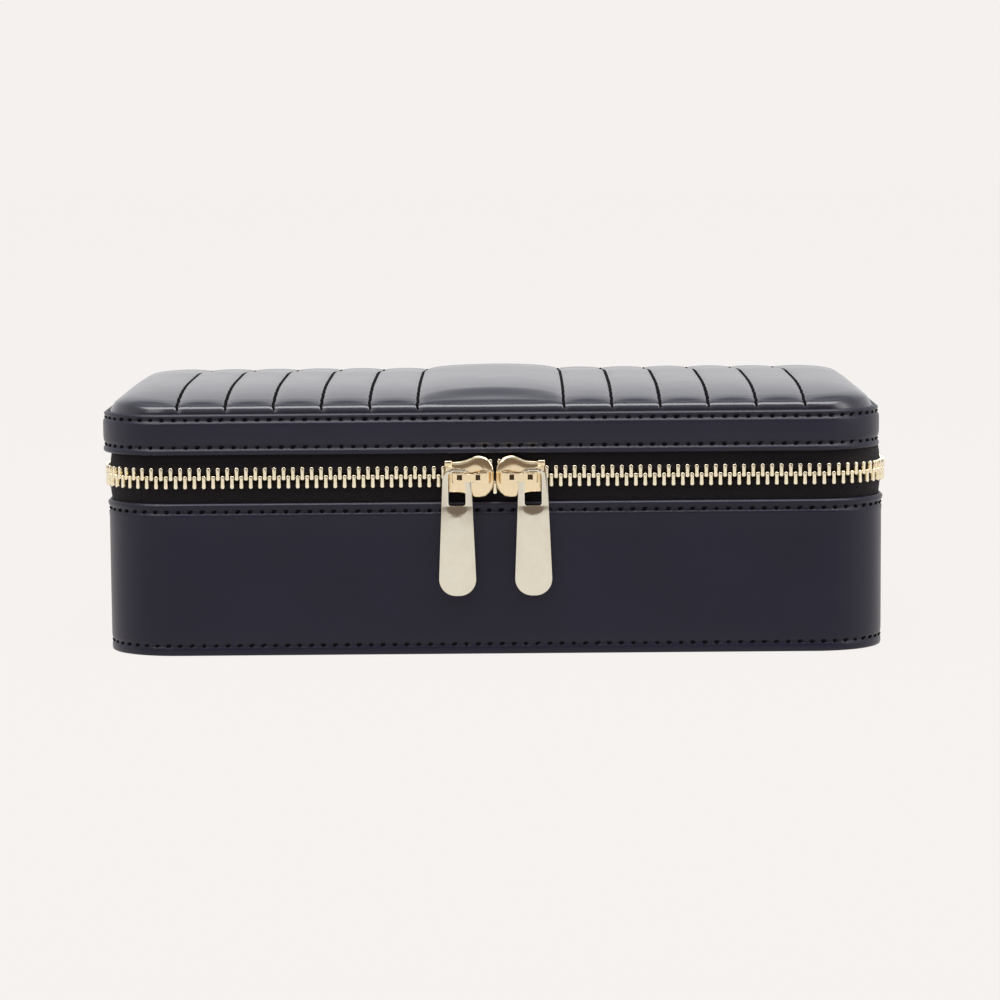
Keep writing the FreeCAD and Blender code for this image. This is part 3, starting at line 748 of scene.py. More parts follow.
def cut_across(bm: BMesh, axis: int, places: Iterable[float]) -> None:
    """Cut the whole mesh by planes across one axis.

    Args:
        bm: The mesh.
        axis: 0 for X, 1 for Y, 2 for Z.
        places: Where the planes cross the axis.
    """
    normal = Vector((0.0, 0.0, 0.0))
    normal[axis] = 1.0
    for place in places:
        bmesh.ops.bisect_plane(bm, geom=[*bm.verts, *bm.edges, *bm.faces], dist=1e-7,
                               plane_co=normal * place, plane_no=normal)


def even(low: float, high: float, count: int) -> list[float]:
    """Give evenly spaced places strictly between two ends."""
    return [low + (high - low) * (n + 1) / (count + 1) for n in range(count)]


@dataclass(frozen=True)
class PlanOutline:
    """A rounded rectangle seen from above, measured from the middle of its front."""

    half_x: float
    half_y: float
    radius: float

    @property
    def flat_x(self) -> float:
        """Half the straight part of the front."""
        return self.half_x - self.radius

    @property
    def flat_y(self) -> float:
        """Half the straight part of a side."""
        return self.half_y - self.radius

    @property
    def turn(self) -> float:
        """The length of one corner."""
        return self.radius * math.pi / 2

    @property
    def length(self) -> float:
        """The whole way round."""
        return 4 * (self.flat_x + self.flat_y + self.turn)

    def grown(self, offset: float) -> "PlanOutline":
        """Give the outline moved outwards by an offset."""
        return PlanOutline(self.half_x + offset, self.half_y + offset, self.radius + offset)

    def place(self, distance: float) -> tuple[Vector, float]:
        """Give a place on the outline.

        Args:
            distance: The way along it, to the right from the middle of the front.

        Returns:
            The point and the heading, both for a walk with the case on the left.
        """
        left = distance % self.length
        x, y, heading = 0.0, -self.half_y, 0.0
        legs = ((self.flat_x, False), (self.turn, True), (2 * self.flat_y, False),
                (self.turn, True), (2 * self.flat_x, False), (self.turn, True),
                (2 * self.flat_y, False), (self.turn, True), (self.flat_x, False))
        for span, bends in legs:
            part = min(left, span)
            if bends:
                angle = part / self.radius
                x += self.radius * (math.sin(heading + angle) - math.sin(heading))
                y += self.radius * (math.cos(heading) - math.cos(heading + angle))
                heading += angle
            else:
                x += part * math.cos(heading)
                y += part * math.sin(heading)
            left -= part
            if left <= 0.0:
                break
        return Vector((x, y, 0.0)), heading

    def locate(self, x: float, y: float) -> tuple[float, Vector]:
        """Give how far round a point near the outline lies.

        Args:
            x: The point's x.
            y: The point's y.

        Returns:
            The distance along the outline and the outward normal.
        """
        out_x, out_y = abs(x) - self.flat_x, abs(y) - self.flat_y
        if out_x > 0 and out_y > 0:
            reach = math.hypot(out_x, out_y)
            normal = Vector((math.copysign(out_x / reach, x), math.copysign(out_y / reach, y), 0))
            along = self.flat_x + self.radius * math.atan2(out_x, out_y)
        elif out_y > 0:
            normal = Vector((0.0, math.copysign(1.0, y), 0.0))
            along = abs(x)
        else:
            normal = Vector((math.copysign(1.0, x), 0.0, 0.0))
            along = self.flat_x + self.turn + self.flat_y - abs(y)
        if y > 0:
            along = self.length / 2 - along
        return math.copysign(along, x), normal

    def depth(self, x: float, y: float) -> tuple[float, float]:
        """Give how deep inside the outline a point lies.

        Args:
            x: The point's x.
            y: The point's y.

        Returns:
            The distance to the nearest edge and how sideways that edge faces, 0 to 1.
        """
        out_x, out_y = abs(x) - self.flat_x, abs(y) - self.flat_y
        if out_x > 0 and out_y > 0:
            reach = math.hypot(out_x, out_y)
            return self.radius - reach, (out_x / reach) ** 2
        if self.half_x - abs(x) < self.half_y - abs(y):
            return self.half_x - abs(x), 1.0
        return self.half_y - abs(y), 0.0

    def half_width(self, y: float) -> float:
        """Give half the width at one depth."""
        over = abs(y) - self.flat_y
        if over <= 0:
            return self.half_x
        return self.flat_x + math.sqrt(max(0.0, self.radius ** 2 - over ** 2))


def sweep_round(outline: PlanOutline, profile: list[Point],
                step: float) -> BMesh:
    """Sweep a closed profile all the way round an outline.

    Args:
        outline: The rounded rectangle.
        profile: The section's corners, each an offset outwards and a height.
        step: The longest stretch between two sections.

    Returns:
        The closed band.
    """
    bm = bmesh.new()
    verts = [bm.verts.new((0.0, -outline.half_y - out, height)) for out, height in profile]
    section = [bm.edges.new(pair) for pair in zip(verts, verts[1:] + verts[:1])]
    centre_x, centre_y = outline.flat_x, outline.flat_y
    corners = ((centre_x, -centre_y), (centre_x, centre_y), (-centre_x, centre_y),
               (-centre_x, -centre_y), None)
    moves = ((centre_x, 0.0), (0.0, 2 * centre_y), (-2 * centre_x, 0.0), (0.0, -2 * centre_y),
             (centre_x, 0.0))
    for corner, move in zip(corners, moves):
        way = Vector((*move, 0.0))
        before = set(bm.edges)
        section = extrude_once(bm, section, way)
        long = [edge for edge in bm.edges if edge not in before and edge not in section]
        bmesh.ops.subdivide_edges(bm, edges=long, cuts=max(1, round(way.length / step)) - 1,
                                  use_grid_fill=False)
        if corner is not None:
            turned = bmesh.ops.spin(bm, geom=[*verts_of(section), *section],
                                    cent=(*corner, 0.0), axis=(0.0, 0.0, 1.0),
                                    angle=math.pi / 2, steps=max(6, round(outline.turn / step)),
                                    use_duplicate=False, use_merge=False)
            section = only(turned["geom_last"], BMEdge)
    bmesh.ops.remove_doubles(bm, verts=bm.verts, dist=0.02 * MM)
    return bm


def extrude_once(bm: BMesh, edges: list[BMEdge],
                 way: Vector) -> list[BMEdge]:
    """Extrude a loop of edges by one move.

    Args:
        bm: The mesh.
        edges: The loop.
        way: The move.

    Returns:
        The new loop.
    """
    made = bmesh.ops.extrude_edge_only(bm, edges=edges)["geom"]
    verts = set(only(made, BMVert))
    bmesh.ops.translate(bm, verts=list(verts), vec=way)
    return [edge for edge in only(made, BMEdge) if verts.issuperset(edge.verts)]


class Pattern:
    """A small mesh that is set down many times in one piece."""

    def __init__(self, name: str, bm: BMesh) -> None:
        """Keep the mesh.

        Args:
            name: The pattern's name.
            bm: The mesh, which is freed.
        """
        self.mesh = bpy.data.meshes.new(name)
        bm.to_mesh(self.mesh)
        bm.free()

    def place(self, bm: BMesh, matrix: Matrix) -> None:
        """Add one copy to a mesh.

        Args:
            bm: The mesh.
            matrix: Where the copy goes.
        """
        copy = self.mesh.copy()
        copy.transform(matrix)
        bm.from_mesh(copy)
        bpy.data.meshes.remove(copy)

    def clear(self) -> None:
        """Remove the pattern."""
        bpy.data.meshes.remove(self.mesh)


# ---------------------------------------------------------------- stitching


@dataclass(frozen=True)
class Stitch:
    """One visible stitch: a short bead of thread between two holes."""

    length: float = 1.4 * MM
    thickness: float = 0.84 * MM
    slant: float = math.radians(14.0)

    def pattern(self) -> Pattern:
        """Make the bead, lying along Z with its outer side at X."""
        bm = bmesh.new()
        half = self.thickness / 2
        size = Matrix.Diagonal((half, half, self.length / 2, 1.0))
        bmesh.ops.create_uvsphere(bm, u_segments=7, v_segments=6, radius=1.0, matrix=size)
        return Pattern("stitch_pattern", bm)

    def turn(self, place: Vector, along: Vector, out: Vector, stray: float = 0.0) -> Matrix:
        """Give the matrix that lays the bead on a seam.

        Args:
            place: Its middle.
            along: The way the seam runs.
            out: The surface's outward normal.
            stray: How uneven this one is, about -1 to 1.

        Returns:
            The matrix.
        """
        along = Matrix.Rotation(self.slant * (1 + 1.6 * stray), 3, out) @ along
        side = out.cross(along).normalized()
        turn = Matrix((side, out, along)).transposed().to_4x4()
        stretch = Matrix.Diagonal((1 - 0.2 * stray, 1.0, 1 + 0.45 * stray, 1.0))
        return Matrix.Translation(place) @ turn @ stretch


@dataclass(frozen=True)
class Seam:
    """A row of stitches all the way round, pressed a little into the leather."""

    height: float
    offset: float
    pitch: float = 3.21 * MM
    dimple: float = 0.36 * MM
    reach: float = 0.42 * MM
    sink: float = 0.24 * MM
    skin: float = 0.7 * MM
    between: float = 0.35
    rucking: float = 0.6
    straying: float = 1.6
    wander: float = 0.12 * MM

    def press(self, bm: BMesh, outline: PlanOutline) -> None:
        """Sink the outer face at the seam, deepest where the thread goes in.

        Args:
            bm: The leather's mesh.
            outline: The outline that the leather follows.
        """
        for vert in bm.verts:
            drop = (vert.co.z - self.height) / self.reach
            if abs(drop) > 3.0:
                continue
            distance, normal = outline.locate(vert.co.x, vert.co.y)
            face = outline.grown(self.offset - self.skin)
            if face.depth(vert.co.x, vert.co.y)[0] > 0:
                continue
            wave = 0.5 - 0.5 * math.cos(2 * math.pi * distance / self.pitch)
            wave = self.between + (1 - self.between) * wave
            spot = Vector((distance * 380.0, self.height * 900.0, 0.0))
            ruck = 1.0 + self.rucking * noise.noise(spot)
            vert.co -= normal * (self.dimple * math.exp(-drop * drop) * wave * ruck)

    def sew(self, bm: BMesh, outline: PlanOutline, stitch: Stitch,
            bead: Pattern) -> None:
        """Add the seam's stitches, each between two dimples.

        Args:
            bm: The thread's mesh.
            outline: The outline that the leather follows.
            stitch: The stitch.
            bead: The stitch's mesh.
        """
        count = int(outline.length / 2 / self.pitch)
        for number in range(-count, count):
            distance = (number + 0.5) * self.pitch
            point, heading = outline.place(distance)
            along = Vector((math.cos(heading), math.sin(heading), 0.0))
            out = Vector((along.y, -along.x, 0.0))
            spot = Vector((distance * 410.0, self.height * 700.0, 5.0))
            stray = self.straying * noise.noise(spot)
            point += out * (self.offset - self.sink)
            point.z = self.height + self.wander * stray
            bead.place(bm, stitch.turn(point, along, out, stray))


# ---------------------------------------------------------------- side leathers


def in_metres(points: list[Point]) -> list[Point]:
    """Turn millimetre pairs into metre pairs."""
    return [(out * MM, height * MM) for out, height in points]


@dataclass
class SideLeather:
    """A strip of leather round the case, with turned edges and sewn rows."""

    name: str
    body: Body
    outline: PlanOutline
    profile: list[Point]
    seams: tuple[Seam, ...]
    replaced: tuple[str, ...]
    shift: Vector = field(default_factory=Vector)
    step: float = 0.6 * MM
    waviness: float = 0.07 * MM
    slow_wave: float = 45.0
    fine_wave: float = 140.0
    fine_share: float = 0.4

    def build(self, palette: Palette) -> None:
        """Make the leather and its threads.

        Args:
            palette: The materials.
        """
        bm = sweep_round(self.outline, self.profile, self.step)
        for vert in bm.verts:
            normal = self.outline.locate(vert.co.x, vert.co.y)[1]
            swell = (noise.noise(vert.co * self.slow_wave)
                     + self.fine_share * noise.noise(vert.co * self.fine_wave))
            vert.co += normal * (self.waviness * swell)
        for seam in self.seams:
            seam.press(bm, self.outline)
        bmesh.ops.translate(bm, verts=bm.verts, vec=self.shift)
        leather = palette.lid_leather if self.body is Body.LID else palette.leather
        make_piece(self.name, bm, leather, self.body, self.replaced, 60.0)
        threads, stitch = bmesh.new(), Stitch()
        bead = stitch.pattern()
        for seam in self.seams:
            seam.sew(threads, self.outline, stitch, bead)
        bead.clear()
        bmesh.ops.translate(threads, verts=threads.verts, vec=self.shift)
        make_piece(f"{self.name}_threads", threads, palette.thread, self.body)


LID_SHIFT = Vector((-1.0 * MM, 0.0, 0.0))
"""How far the hand-sewn lid cover sits off the middle of the base."""

PAD_CORNER = 17.8 * MM
"""The radius of the padded cover's corners."""

PAD_SEAT = 1.1 * MM
"""How far below the lid's upper edge the padded cover starts."""

ZIP_LIFT = 0.25 * MM
"""How far the teeth run above the middle of the gap between the leathers."""


@dataclass
class SideLeathers:
    """Both side leathers and the sole."""

    corner: float = 19.0 * MM
    sole_rim: float = 12.0 * MM
    sole_step: float = 4.0 * MM

    def __post_init__(self) -> None:
        """Read the case's outline from the frame."""
        low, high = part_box("base_wall_leather")
        self.outline = PlanOutline(high.x, high.y, self.corner)
        self.sole_top, self.base_top = low.z, high.z
        self.lid_low, self.lid_top = (corner.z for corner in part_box("lid_wall_leather"))

    def build(self, palette: Palette) -> None:
        """Make all three.

        Args:
            palette: The materials.
        """
        self.base(palette)
        self.lid(palette)
        self.sole(palette)

    def base(self, palette: Palette) -> None:
        """Make the base's leather: squarely folded under, rolled at its top edge."""
        top = self.base_top / MM - 0.12
        profile = in_metres([
            (-2.6, 0.05), (-1.2, 0.0), (-0.45, 0.04), (-0.12, 0.22), (0.02, 0.6), (0.05, 1.1),
            (0.03, 1.7), (0.0, 2.1), (-0.06, 2.4), (-0.11, 2.75), (-0.07, 3.1), (0.03, 3.5),
            (0.1, 4.3), (0.12, 7.0), (0.12, 11.0), (0.13, 16.0), (0.15, 21.0), (0.17, 26.0),
            (0.2, 31.0), (0.24, top - 4.9), (0.32, top - 4.0), (0.37, top - 3.45),
            (0.33, top - 3.2), (0.2, top - 2.98), (0.12, top - 2.75), (0.1, top - 2.35),
            (0.14, top - 2.05), (0.28, top - 1.75), (0.46, top - 1.35), (0.57, top - 0.95),
            (0.59, top - 0.72), (0.54, top - 0.52), (0.3, top - 0.26), (0.08, top - 0.06),
            (-0.12, top + 0.02), (-0.45, top - 0.05),
            (-0.75, top - 0.3), (-0.9, top - 0.9), (-0.9, 3.0), (-1.4, 1.6), (-2.6, 1.2),
        ])
        seams = (Seam(2.75 * MM, -0.08 * MM), Seam((top - 2.35) * MM, 0.14 * MM))
        SideLeather("base_side_leather", Body.BASE, self.outline, profile, seams,
                    ("base_wall_leather",)).build(palette)

    def lid(self, palette: Palette) -> None:
        """Make the lid's leather, with a folded edge below each row of stitches."""
        low, top = self.lid_low / MM + 0.15, self.lid_top / MM - 0.85
        profile = in_metres([
            (-1.7, low + 1.0), (-1.4, low + 0.35), (-0.7, low + 0.02), (-0.1, low),
            (0.3, low + 0.12), (0.52, low + 0.36), (0.58, low + 0.7), (0.58, low + 0.98),
            (0.52, low + 1.2), (0.34, low + 1.46), (0.2, low + 1.7), (0.14, low + 2.05),
            (0.18, low + 2.4), (0.32, low + 2.7), (0.48, low + 3.1), (0.57, low + 3.7),
            (0.62, low + 4.6), (0.63, low + 5.8), (0.62, top - 3.4), (0.6, top - 2.75),
            (0.56, top - 2.5), (0.46, top - 2.3), (0.24, top - 2.0), (0.12, top - 1.8),
            (0.08, top - 1.5), (0.14, top - 1.2), (0.26, top - 0.9), (0.34, top - 0.68),
            (0.34, top - 0.54), (0.26, top - 0.4), (0.02, top - 0.14), (-0.14, top - 0.02),
            (-0.3, top + 0.05), (-0.55, top + 0.02),
            (-0.8, top - 0.2), (-0.95, top - 0.7), (-1.7, top - 1.2),
        ])
        seams = (Seam((low + 2.1) * MM, 0.18 * MM), Seam((top - 1.5) * MM, 0.12 * MM))
        SideLeather("lid_side_leather", Body.LID, self.outline, profile, seams,
                    ("lid_wall_leather",), LID_SHIFT).build(palette)

    def sole(self, palette: Palette) -> None:
        """Make the sole: a flat padded leather that the case stands on."""
        inner = -self.sole_rim / MM
        profile = in_metres([(-2.0, 1.4), (-1.9, 0.8), (-2.3, 0.25), (-3.2, 0.0), (inner, 0.0),
                             (inner, 2.2), (-2.4, 2.2)])
        bm = sweep_round(self.outline, profile, self.sole_step)
        rim, inside = (self.outline.grown(slack - self.sole_rim) for slack in (0.1 * MM, MM))
        for height in (0.0, self.sole_top):
            ring = [edge for edge in bm.edges
                    if all(abs(vert.co.z - height) < TOUCH
                           and rim.depth(vert.co.x, vert.co.y)[0] > -1e-9 for vert in edge.verts)]
            bmesh.ops.contextual_create(bm, geom=ring)
        spare = [face for face in bm.faces if abs(face.normal.z) < 0.5
                 and inside.depth(*face.calc_center_median().xy)[0] > 0]
        bmesh.ops.delete(bm, geom=spare, context="FACES")
        make_piece("base_sole_leather", bm, palette.leather, Body.BASE,
                   ("base_bottom_leather",), 60.0)


# ---------------------------------------------------------------- quilted top


def eased(share: float) -> float:
    """Give an S-shaped ramp from 0 to 1."""
    share = min(max(share, 0.0), 1.0)
    return share * share * (3 - 2 * share)


@dataclass
class QuiltedTop:
    """The padded top: channels sewn front to back, with a plain panel in the middle."""

    outline: PlanOutline
    seat: float
    lip_rise: float = 2.35 * MM
    lip_run: float = 1.6 * MM
    rise: float = 3.5 * MM
    front_run: float = 60.0 * MM
    side_run: float = 20.0 * MM
    back_run: float = 14.0 * MM
    rear_drop: float = 0.77
    first_line: float = 19.6 * MM
    line_pitch: float = 12.92 * MM
    lines_each_side: int = 6
    panel_rise: float = 1.3 * MM
    panel_start: float = 4.4 * MM
    panel_run: float = 7.5 * MM
    channel_rise: float = 0.5 * MM
    channel_start: float = 1.1 * MM
    channel_run: float = 2.0 * MM
    groove: float = 0.6 * MM
    groove_half: float = 0.7 * MM
    stitch_pitch: float = 2.7 * MM
    rows: int = 200
    shoulder_run: float = 6.0 * MM
    shoulder_power: float = 3.6
    rear_start: float = 3.7 * MM
    rear_run: float = 60.0 * MM
    pucker_rise: float = 0.05 * MM
    pucker_reach: float = 3.5 * MM
    pucker_fade: float = 1.5 * MM
    slow_swell: float = 0.11 * MM
    fine_swell: float = 0.035 * MM
    wobble_size: float = 0.09 * MM
    thread_sink: float = 0.28 * MM
    skirt: tuple[Point, ...] = ((0.35 * MM, 0.0), (0.8 * MM, 0.2 * MM))

    def lines(self) -> list[float]:
        """Give the sewn lines, left to right."""
        right = [self.first_line + n * self.line_pitch for n in range(self.lines_each_side)]
        return [-x for x in reversed(right)] + right

    def columns(self) -> list[float]:
        """Give every column of the mesh, with three close ones at each sewn line."""
        lines = self.lines()
        places = [-self.outline.half_x]
        places += even(-self.outline.half_x, lines[0] - self.groove_half, 12)
        for number, line in enumerate(lines):
            places += [line - self.groove_half, line, line + self.groove_half]
            if number + 1 < len(lines):
                gap = lines[number + 1] - line
                count = 7 if gap < 1.5 * self.line_pitch else 20
                places += even(line + self.groove_half, line + gap - self.groove_half, count)
        places += even(lines[-1] + self.groove_half, self.outline.half_x, 12)
        return [*places, self.outline.half_x]

    def swell(self, x: float, edge: float) -> float:
        """Give the bulge between two sewn lines.

        Args:
            x: The place across the lid.
            edge: The depth inside the edge.

        Returns:
            The bulge in metres.
        """
        lines = self.lines()
        share = ((abs(x) - self.first_line) / self.line_pitch) % 1.0 * 2 - 1
        if abs(x) < self.first_line:
            share = x / self.first_line
        start = self.channel_start * (1 - share ** 2)
        firm = eased((edge - 0.4 * MM - start) / self.channel_run)
        if abs(x) < self.first_line:
            start = self.panel_start * (1 - share ** 2)
            full = eased((edge - 0.8 * MM - start) / self.panel_run)
            return (self.panel_rise * (1 - share ** 2) ** 0.75 * full
                    + self.channel_rise * (1 - share ** 8) * firm)
        if abs(x) > lines[-1]:
            share = (abs(x) - lines[-1]) / (self.outline.half_x - lines[-1])
            return self.channel_rise * (1 - (1 - min(share * 2.6, 1.0)) ** 2) * firm
        return self.channel_rise * (1 - abs(share) ** 2.4) * firm

    def height(self, x: float, y: float) -> float:
        """Give the top's height at a place: a short steep lip, then a long gentle rise.

        Args:
            x: The place across the lid.
            y: The place from front to back.

        Returns:
            The height in metres.
        """
        edge = max(self.outline.depth(x, y)[0], 0.0)
        half_x, half_y = self.outline.half_x, self.outline.half_y
        shoulder = 1 - (1 - min(edge / self.shoulder_run, 1.0)) ** 2
        for away, run in ((half_y + y, self.front_run), (half_y - y, self.back_run),
                          (half_x - abs(x), self.side_run)):
            shoulder *= 1 - (1 - min(max(away, 0.0) / run, 1.0)) ** self.shoulder_power
        shoulder *= 1 - self.rear_drop * eased((y - self.rear_start) / self.rear_run)
        lip = math.sqrt(1 - (1 - min(edge / self.lip_run, 1.0)) ** 2)
        return self.seat + self.lip_rise * lip + self.rise * shoulder + self.swell(x, edge)

    def sheet(self) -> BMesh:
        """Make the top sheet on a grid whose columns follow the sewn lines.

        Returns:
            The mesh.
        """
        columns = self.columns()
        bm = bmesh.new()
        bmesh.ops.create_grid(bm, x_segments=len(columns) - 1, y_segments=self.rows, size=0.5)
        last_line = self.lines()[-1] + self.groove_half
        for vert in bm.verts:
            share = vert.co.y * 2
            y = self.outline.half_y * (0.45 * share + 0.55 * math.sin(share * math.pi / 2))
            x = columns[round((vert.co.x + 0.5) * (len(columns) - 1))]
            if abs(x) > last_line:
                fit = (self.outline.half_width(y) - last_line) / (self.outline.half_x - last_line)
                x = math.copysign(last_line + (abs(x) - last_line) * fit, x)
            vert.co = Vector((x, y, self.height(x, y)))
        return bm

    def wobble(self, line: float, y: float) -> float:
        """Give how far a sewn line strays sideways at one place along it."""
        return self.wobble_size * math.sin(y * 900.0 + line * 700.0)

    def wrinkle(self, bm: BMesh) -> None:
        """Press the sewn lines in and let the leather pucker beside them.

        Args:
            bm: The top sheet.
        """
        lines = self.lines()
        for vert in bm.verts:
            near = min(lines, key=lambda line: abs(line - vert.co.x))
            away = abs(vert.co.x - near)
            edge = self.outline.depth(vert.co.x, vert.co.y)[0]
            firm = min(1.0, edge / self.shoulder_run)
            if away < 0.05 * MM:
                vert.co.z -= self.groove
                vert.co.x += self.wobble(near, vert.co.y)
            elif away < self.pucker_reach:
                pucker = math.cos(2 * math.pi * vert.co.y / self.stitch_pitch)
                fade = math.exp(-away / self.pucker_fade)
                vert.co.z += self.pucker_rise * pucker * fade * firm
            slow = noise.noise(Vector((vert.co.x * 40, vert.co.y * 26, 3.0)))
            fine = noise.noise(Vector((vert.co.x * 120, vert.co.y * 55, 9.0)))
            vert.co.z += (self.slow_swell * slow + self.fine_swell * fine) * firm

    def build(self, palette: Palette) -> None:
        """Make the top and its threads.

        Args:
            palette: The materials.
        """
        bm = self.sheet()
        self.wrinkle(bm)
        border = [edge for edge in bm.edges if edge.is_boundary]
        for drop, inward in self.skirt:
            border = extrude_once(bm, border, Vector((0.0, 0.0, -drop)))
            for vert in verts_of(border):
                vert.co -= self.outline.locate(vert.co.x, vert.co.y)[1] * inward
        bmesh.ops.contextual_create(bm, geom=border)
        bmesh.ops.translate(bm, verts=bm.verts, vec=LID_SHIFT)
        top = make_piece("quilted_top", bm, palette.quilt, Body.LID,
                         ("lid_top_leather", "lid_top_foam"), 70.0)
        self.sew(palette)

    def sew(self, palette: Palette) -> None:
        """Lay the threads in the sewn lines.

        Args:
            palette: The materials.
        """
        bm, stitch = bmesh.new(), Stitch(2.35 * MM, 0.8 * MM, math.radians(9.0))
        bead = stitch.pattern()
        count, step = int(self.outline.half_y / self.stitch_pitch), 0.5 * MM
        for line in self.lines():
            for number in range(-count, count + 1):
                y = number * self.stitch_pitch
                rise = self.height(line, y + step) - self.height(line, y - step)
                along = Vector((0.0, 2 * step, rise)).normalized()
                out = Vector((0.0, -along.z, along.y))
                place = Vector((line + self.wobble(line, y), y,
                                self.height(line, y) - self.thread_sink))
                bead.place(bm, stitch.turn(place, along, out))
        bead.clear()
        bmesh.ops.translate(bm, verts=bm.verts, vec=LID_SHIFT)
        make_piece("quilting_threads", bm, palette.thread, Body.LID)


# ---------------------------------------------------------------- zip


@dataclass
class ZipChain:
    """The two rows of metal teeth, their end stops and the tapes that carry them."""

    outline: PlanOutline
    middle: float
    pitch: float = 2.52 * MM
    width: float = 1.05 * MM
    depth: float = 2.6 * MM
    heel: float = 2.85 * MM
    reach: float = 0.62 * MM
    parting: float = 1.9 * MM
    parting_length: float = 8.0 * MM
    rear_end: float = 74.0 * MM
    stop_length: float = 2.4 * MM
    side_bulge: float = 1.1 * MM
    heel_round: float = 0.42 * MM
    neck_end: float = 1.1 * MM
    neck: float = 0.84
    tooth_edge: float = 0.16 * MM
    stop_gap: float = 0.3 * MM
    stop_edge: float = 0.45 * MM
    cord_edge: float = 1.35 * MM
    hem_depth: float = 2.0 * MM
    tape_wave: float = 0.12 * MM
    tape_step: float = 1.2 * MM

    def path(self) -> PlanOutline:
        """Give the line through the middle of the teeth."""
        return self.outline.grown(-self.depth / 2)

    def end(self) -> float:
        """Give the chain's length from the middle of the front to either end."""
        return self.path().length / 2 - self.rear_end

    def lift(self, distance: float) -> float:
        """Give how far a row is parted from the middle line between the sliders."""
        return self.parting * eased(1.0 - abs(distance) / self.parting_length)

    def stand(self, distance: float) -> Matrix:
        """Give the matrix that stands a tooth on the chain, which bows out at the sides.

        Args:
            distance: The way along the chain from the middle of the front.

        Returns:
            The matrix.
        """
        point, heading = self.path().place(distance)
        out = Vector((math.sin(heading), -math.cos(heading), 0.0))
        point += out * (self.side_bulge * out.x ** 2)
        point.z = self.middle
        return Matrix.Translation(point) @ Matrix.Rotation(heading, 4, "Z")

    def tooth(self, up: int) -> Pattern:
        """Make one tooth at the origin: a bar with a round heel, a neck and a round head.

        Args:
            up: 1 for the upper row and -1 for the lower.

        Returns:
            The tooth.
        """
        bm = bmesh.new()
        low, high = sorted((-self.reach * up, self.heel * up))
        add_block(bm, Vector((-self.width / 2, -self.depth / 2, low)),
                  Vector((self.width / 2, self.depth / 2, high)))
        deep = [edge for edge in bm.edges if abs(edge.verts[0].co.y - edge.verts[1].co.y) > TOUCH]
        round_edges(bm, deep, self.heel_round, 3)
        cut_across(bm, 2, [self.reach * up, self.neck_end * up])
        for vert in bm.verts:
            if self.reach * 0.9 < vert.co.z * up < self.neck_end + 0.1 * MM:
                vert.co.x *= self.neck
        round_edges(bm, sharp_edges(bm), self.tooth_edge, 2)
        return Pattern("tooth_pattern", bm)

    def row(self, up: int, phase: float) -> BMesh:
        """Make one row of teeth.

        Args:
            up: 1 for the upper row and -1 for the lower.
            phase: How far along the pitch the first tooth sits, 0 to 1.

        Returns:
            The row.
        """
        tooth = self.tooth(up)
        bm = bmesh.new()
        limit = self.end() - self.stop_length - self.width
        count = int(limit / self.pitch) + 1
        for number in range(-count, count + 1):
            distance = (number + phase) * self.pitch
            if abs(distance) < limit:
                rise = Matrix.Translation((0.0, 0.0, up * self.lift(distance)))
                tooth.place(bm, rise @ self.stand(distance))
        tooth.clear()
        return bm

    def stops(self, up: int) -> BMesh:
        """Make the two crimped stops at the rear ends of a row."""
        bm = bmesh.new()
        for side in (-1, 1):
            verts = add_block(bm, Vector((-self.stop_length / 2, -self.depth / 2, self.stop_gap)),
                              Vector((self.stop_length / 2, self.depth / 2, self.heel)))
            if up < 0:
                bmesh.ops.scale(bm, verts=verts, vec=(1.0, 1.0, -1.0))
            bmesh.ops.transform(bm, verts=verts,
                                matrix=self.stand(side * (self.end() - self.stop_length / 2)))
        round_edges(bm, bm.edges[:], self.stop_edge, 3)
        return bm

    def tape(self, up: int, hem: float) -> BMesh:
        """Make one tape: sewn behind the leather, it bows out to the teeth and has a cord edge.

        Args:
            up: 1 for the upper tape and -1 for the lower.
            hem: The height of its hidden hem.

        Returns:
            The tape.
        """
        edge = self.middle + up * self.cord_edge
        outer = [(-1.12, 0.0), (-1.1, 0.3), (-1.0, 0.5), (-0.98, 0.66), (-1.02, 0.8),
                 (-0.9, 0.86), (-0.72, 0.91), (-0.72, 0.97), (-0.95, 1.0)]
        inner = [(-1.65, 1.0), (-1.88, 0.97), (-1.88, 0.91), (-1.7, 0.86), (-1.62, 0.66),
                 (-1.72, 0.3), (-1.72, 0.0)]
        profile = [(out * MM, hem + (edge - hem) * share) for out, share in outer + inner]
        bm = sweep_round(self.outline, profile, self.tape_step)
        for vert in bm.verts:
            out = self.outline.locate(vert.co.x, vert.co.y)[1]
            share = min(max((vert.co.z - hem) / (edge - hem) * 1.4 - 0.4, 0.0), 1.0)
            wave = self.tape_wave * noise.noise(Vector((vert.co.x * 60, vert.co.y * 60, up * 5.0)))
            vert.co += out * ((self.side_bulge * out.x ** 2 + wave) * share)
        for side in (-1, 1):
            bmesh.ops.bisect_plane(bm, geom=[*bm.verts, *bm.edges, *bm.faces], dist=1e-7,
                                   plane_co=(side * self.rear_end, 0, 0), plane_no=(1, 0, 0))
        spare = [face for face in bm.faces if face.calc_center_median().y > 0
                 and abs(face.calc_center_median().x) < self.rear_end]
        bmesh.ops.delete(bm, geom=spare, context="FACES")
        bmesh.ops.holes_fill(bm, edges=[edge for edge in bm.edges if edge.is_boundary])
        return bm

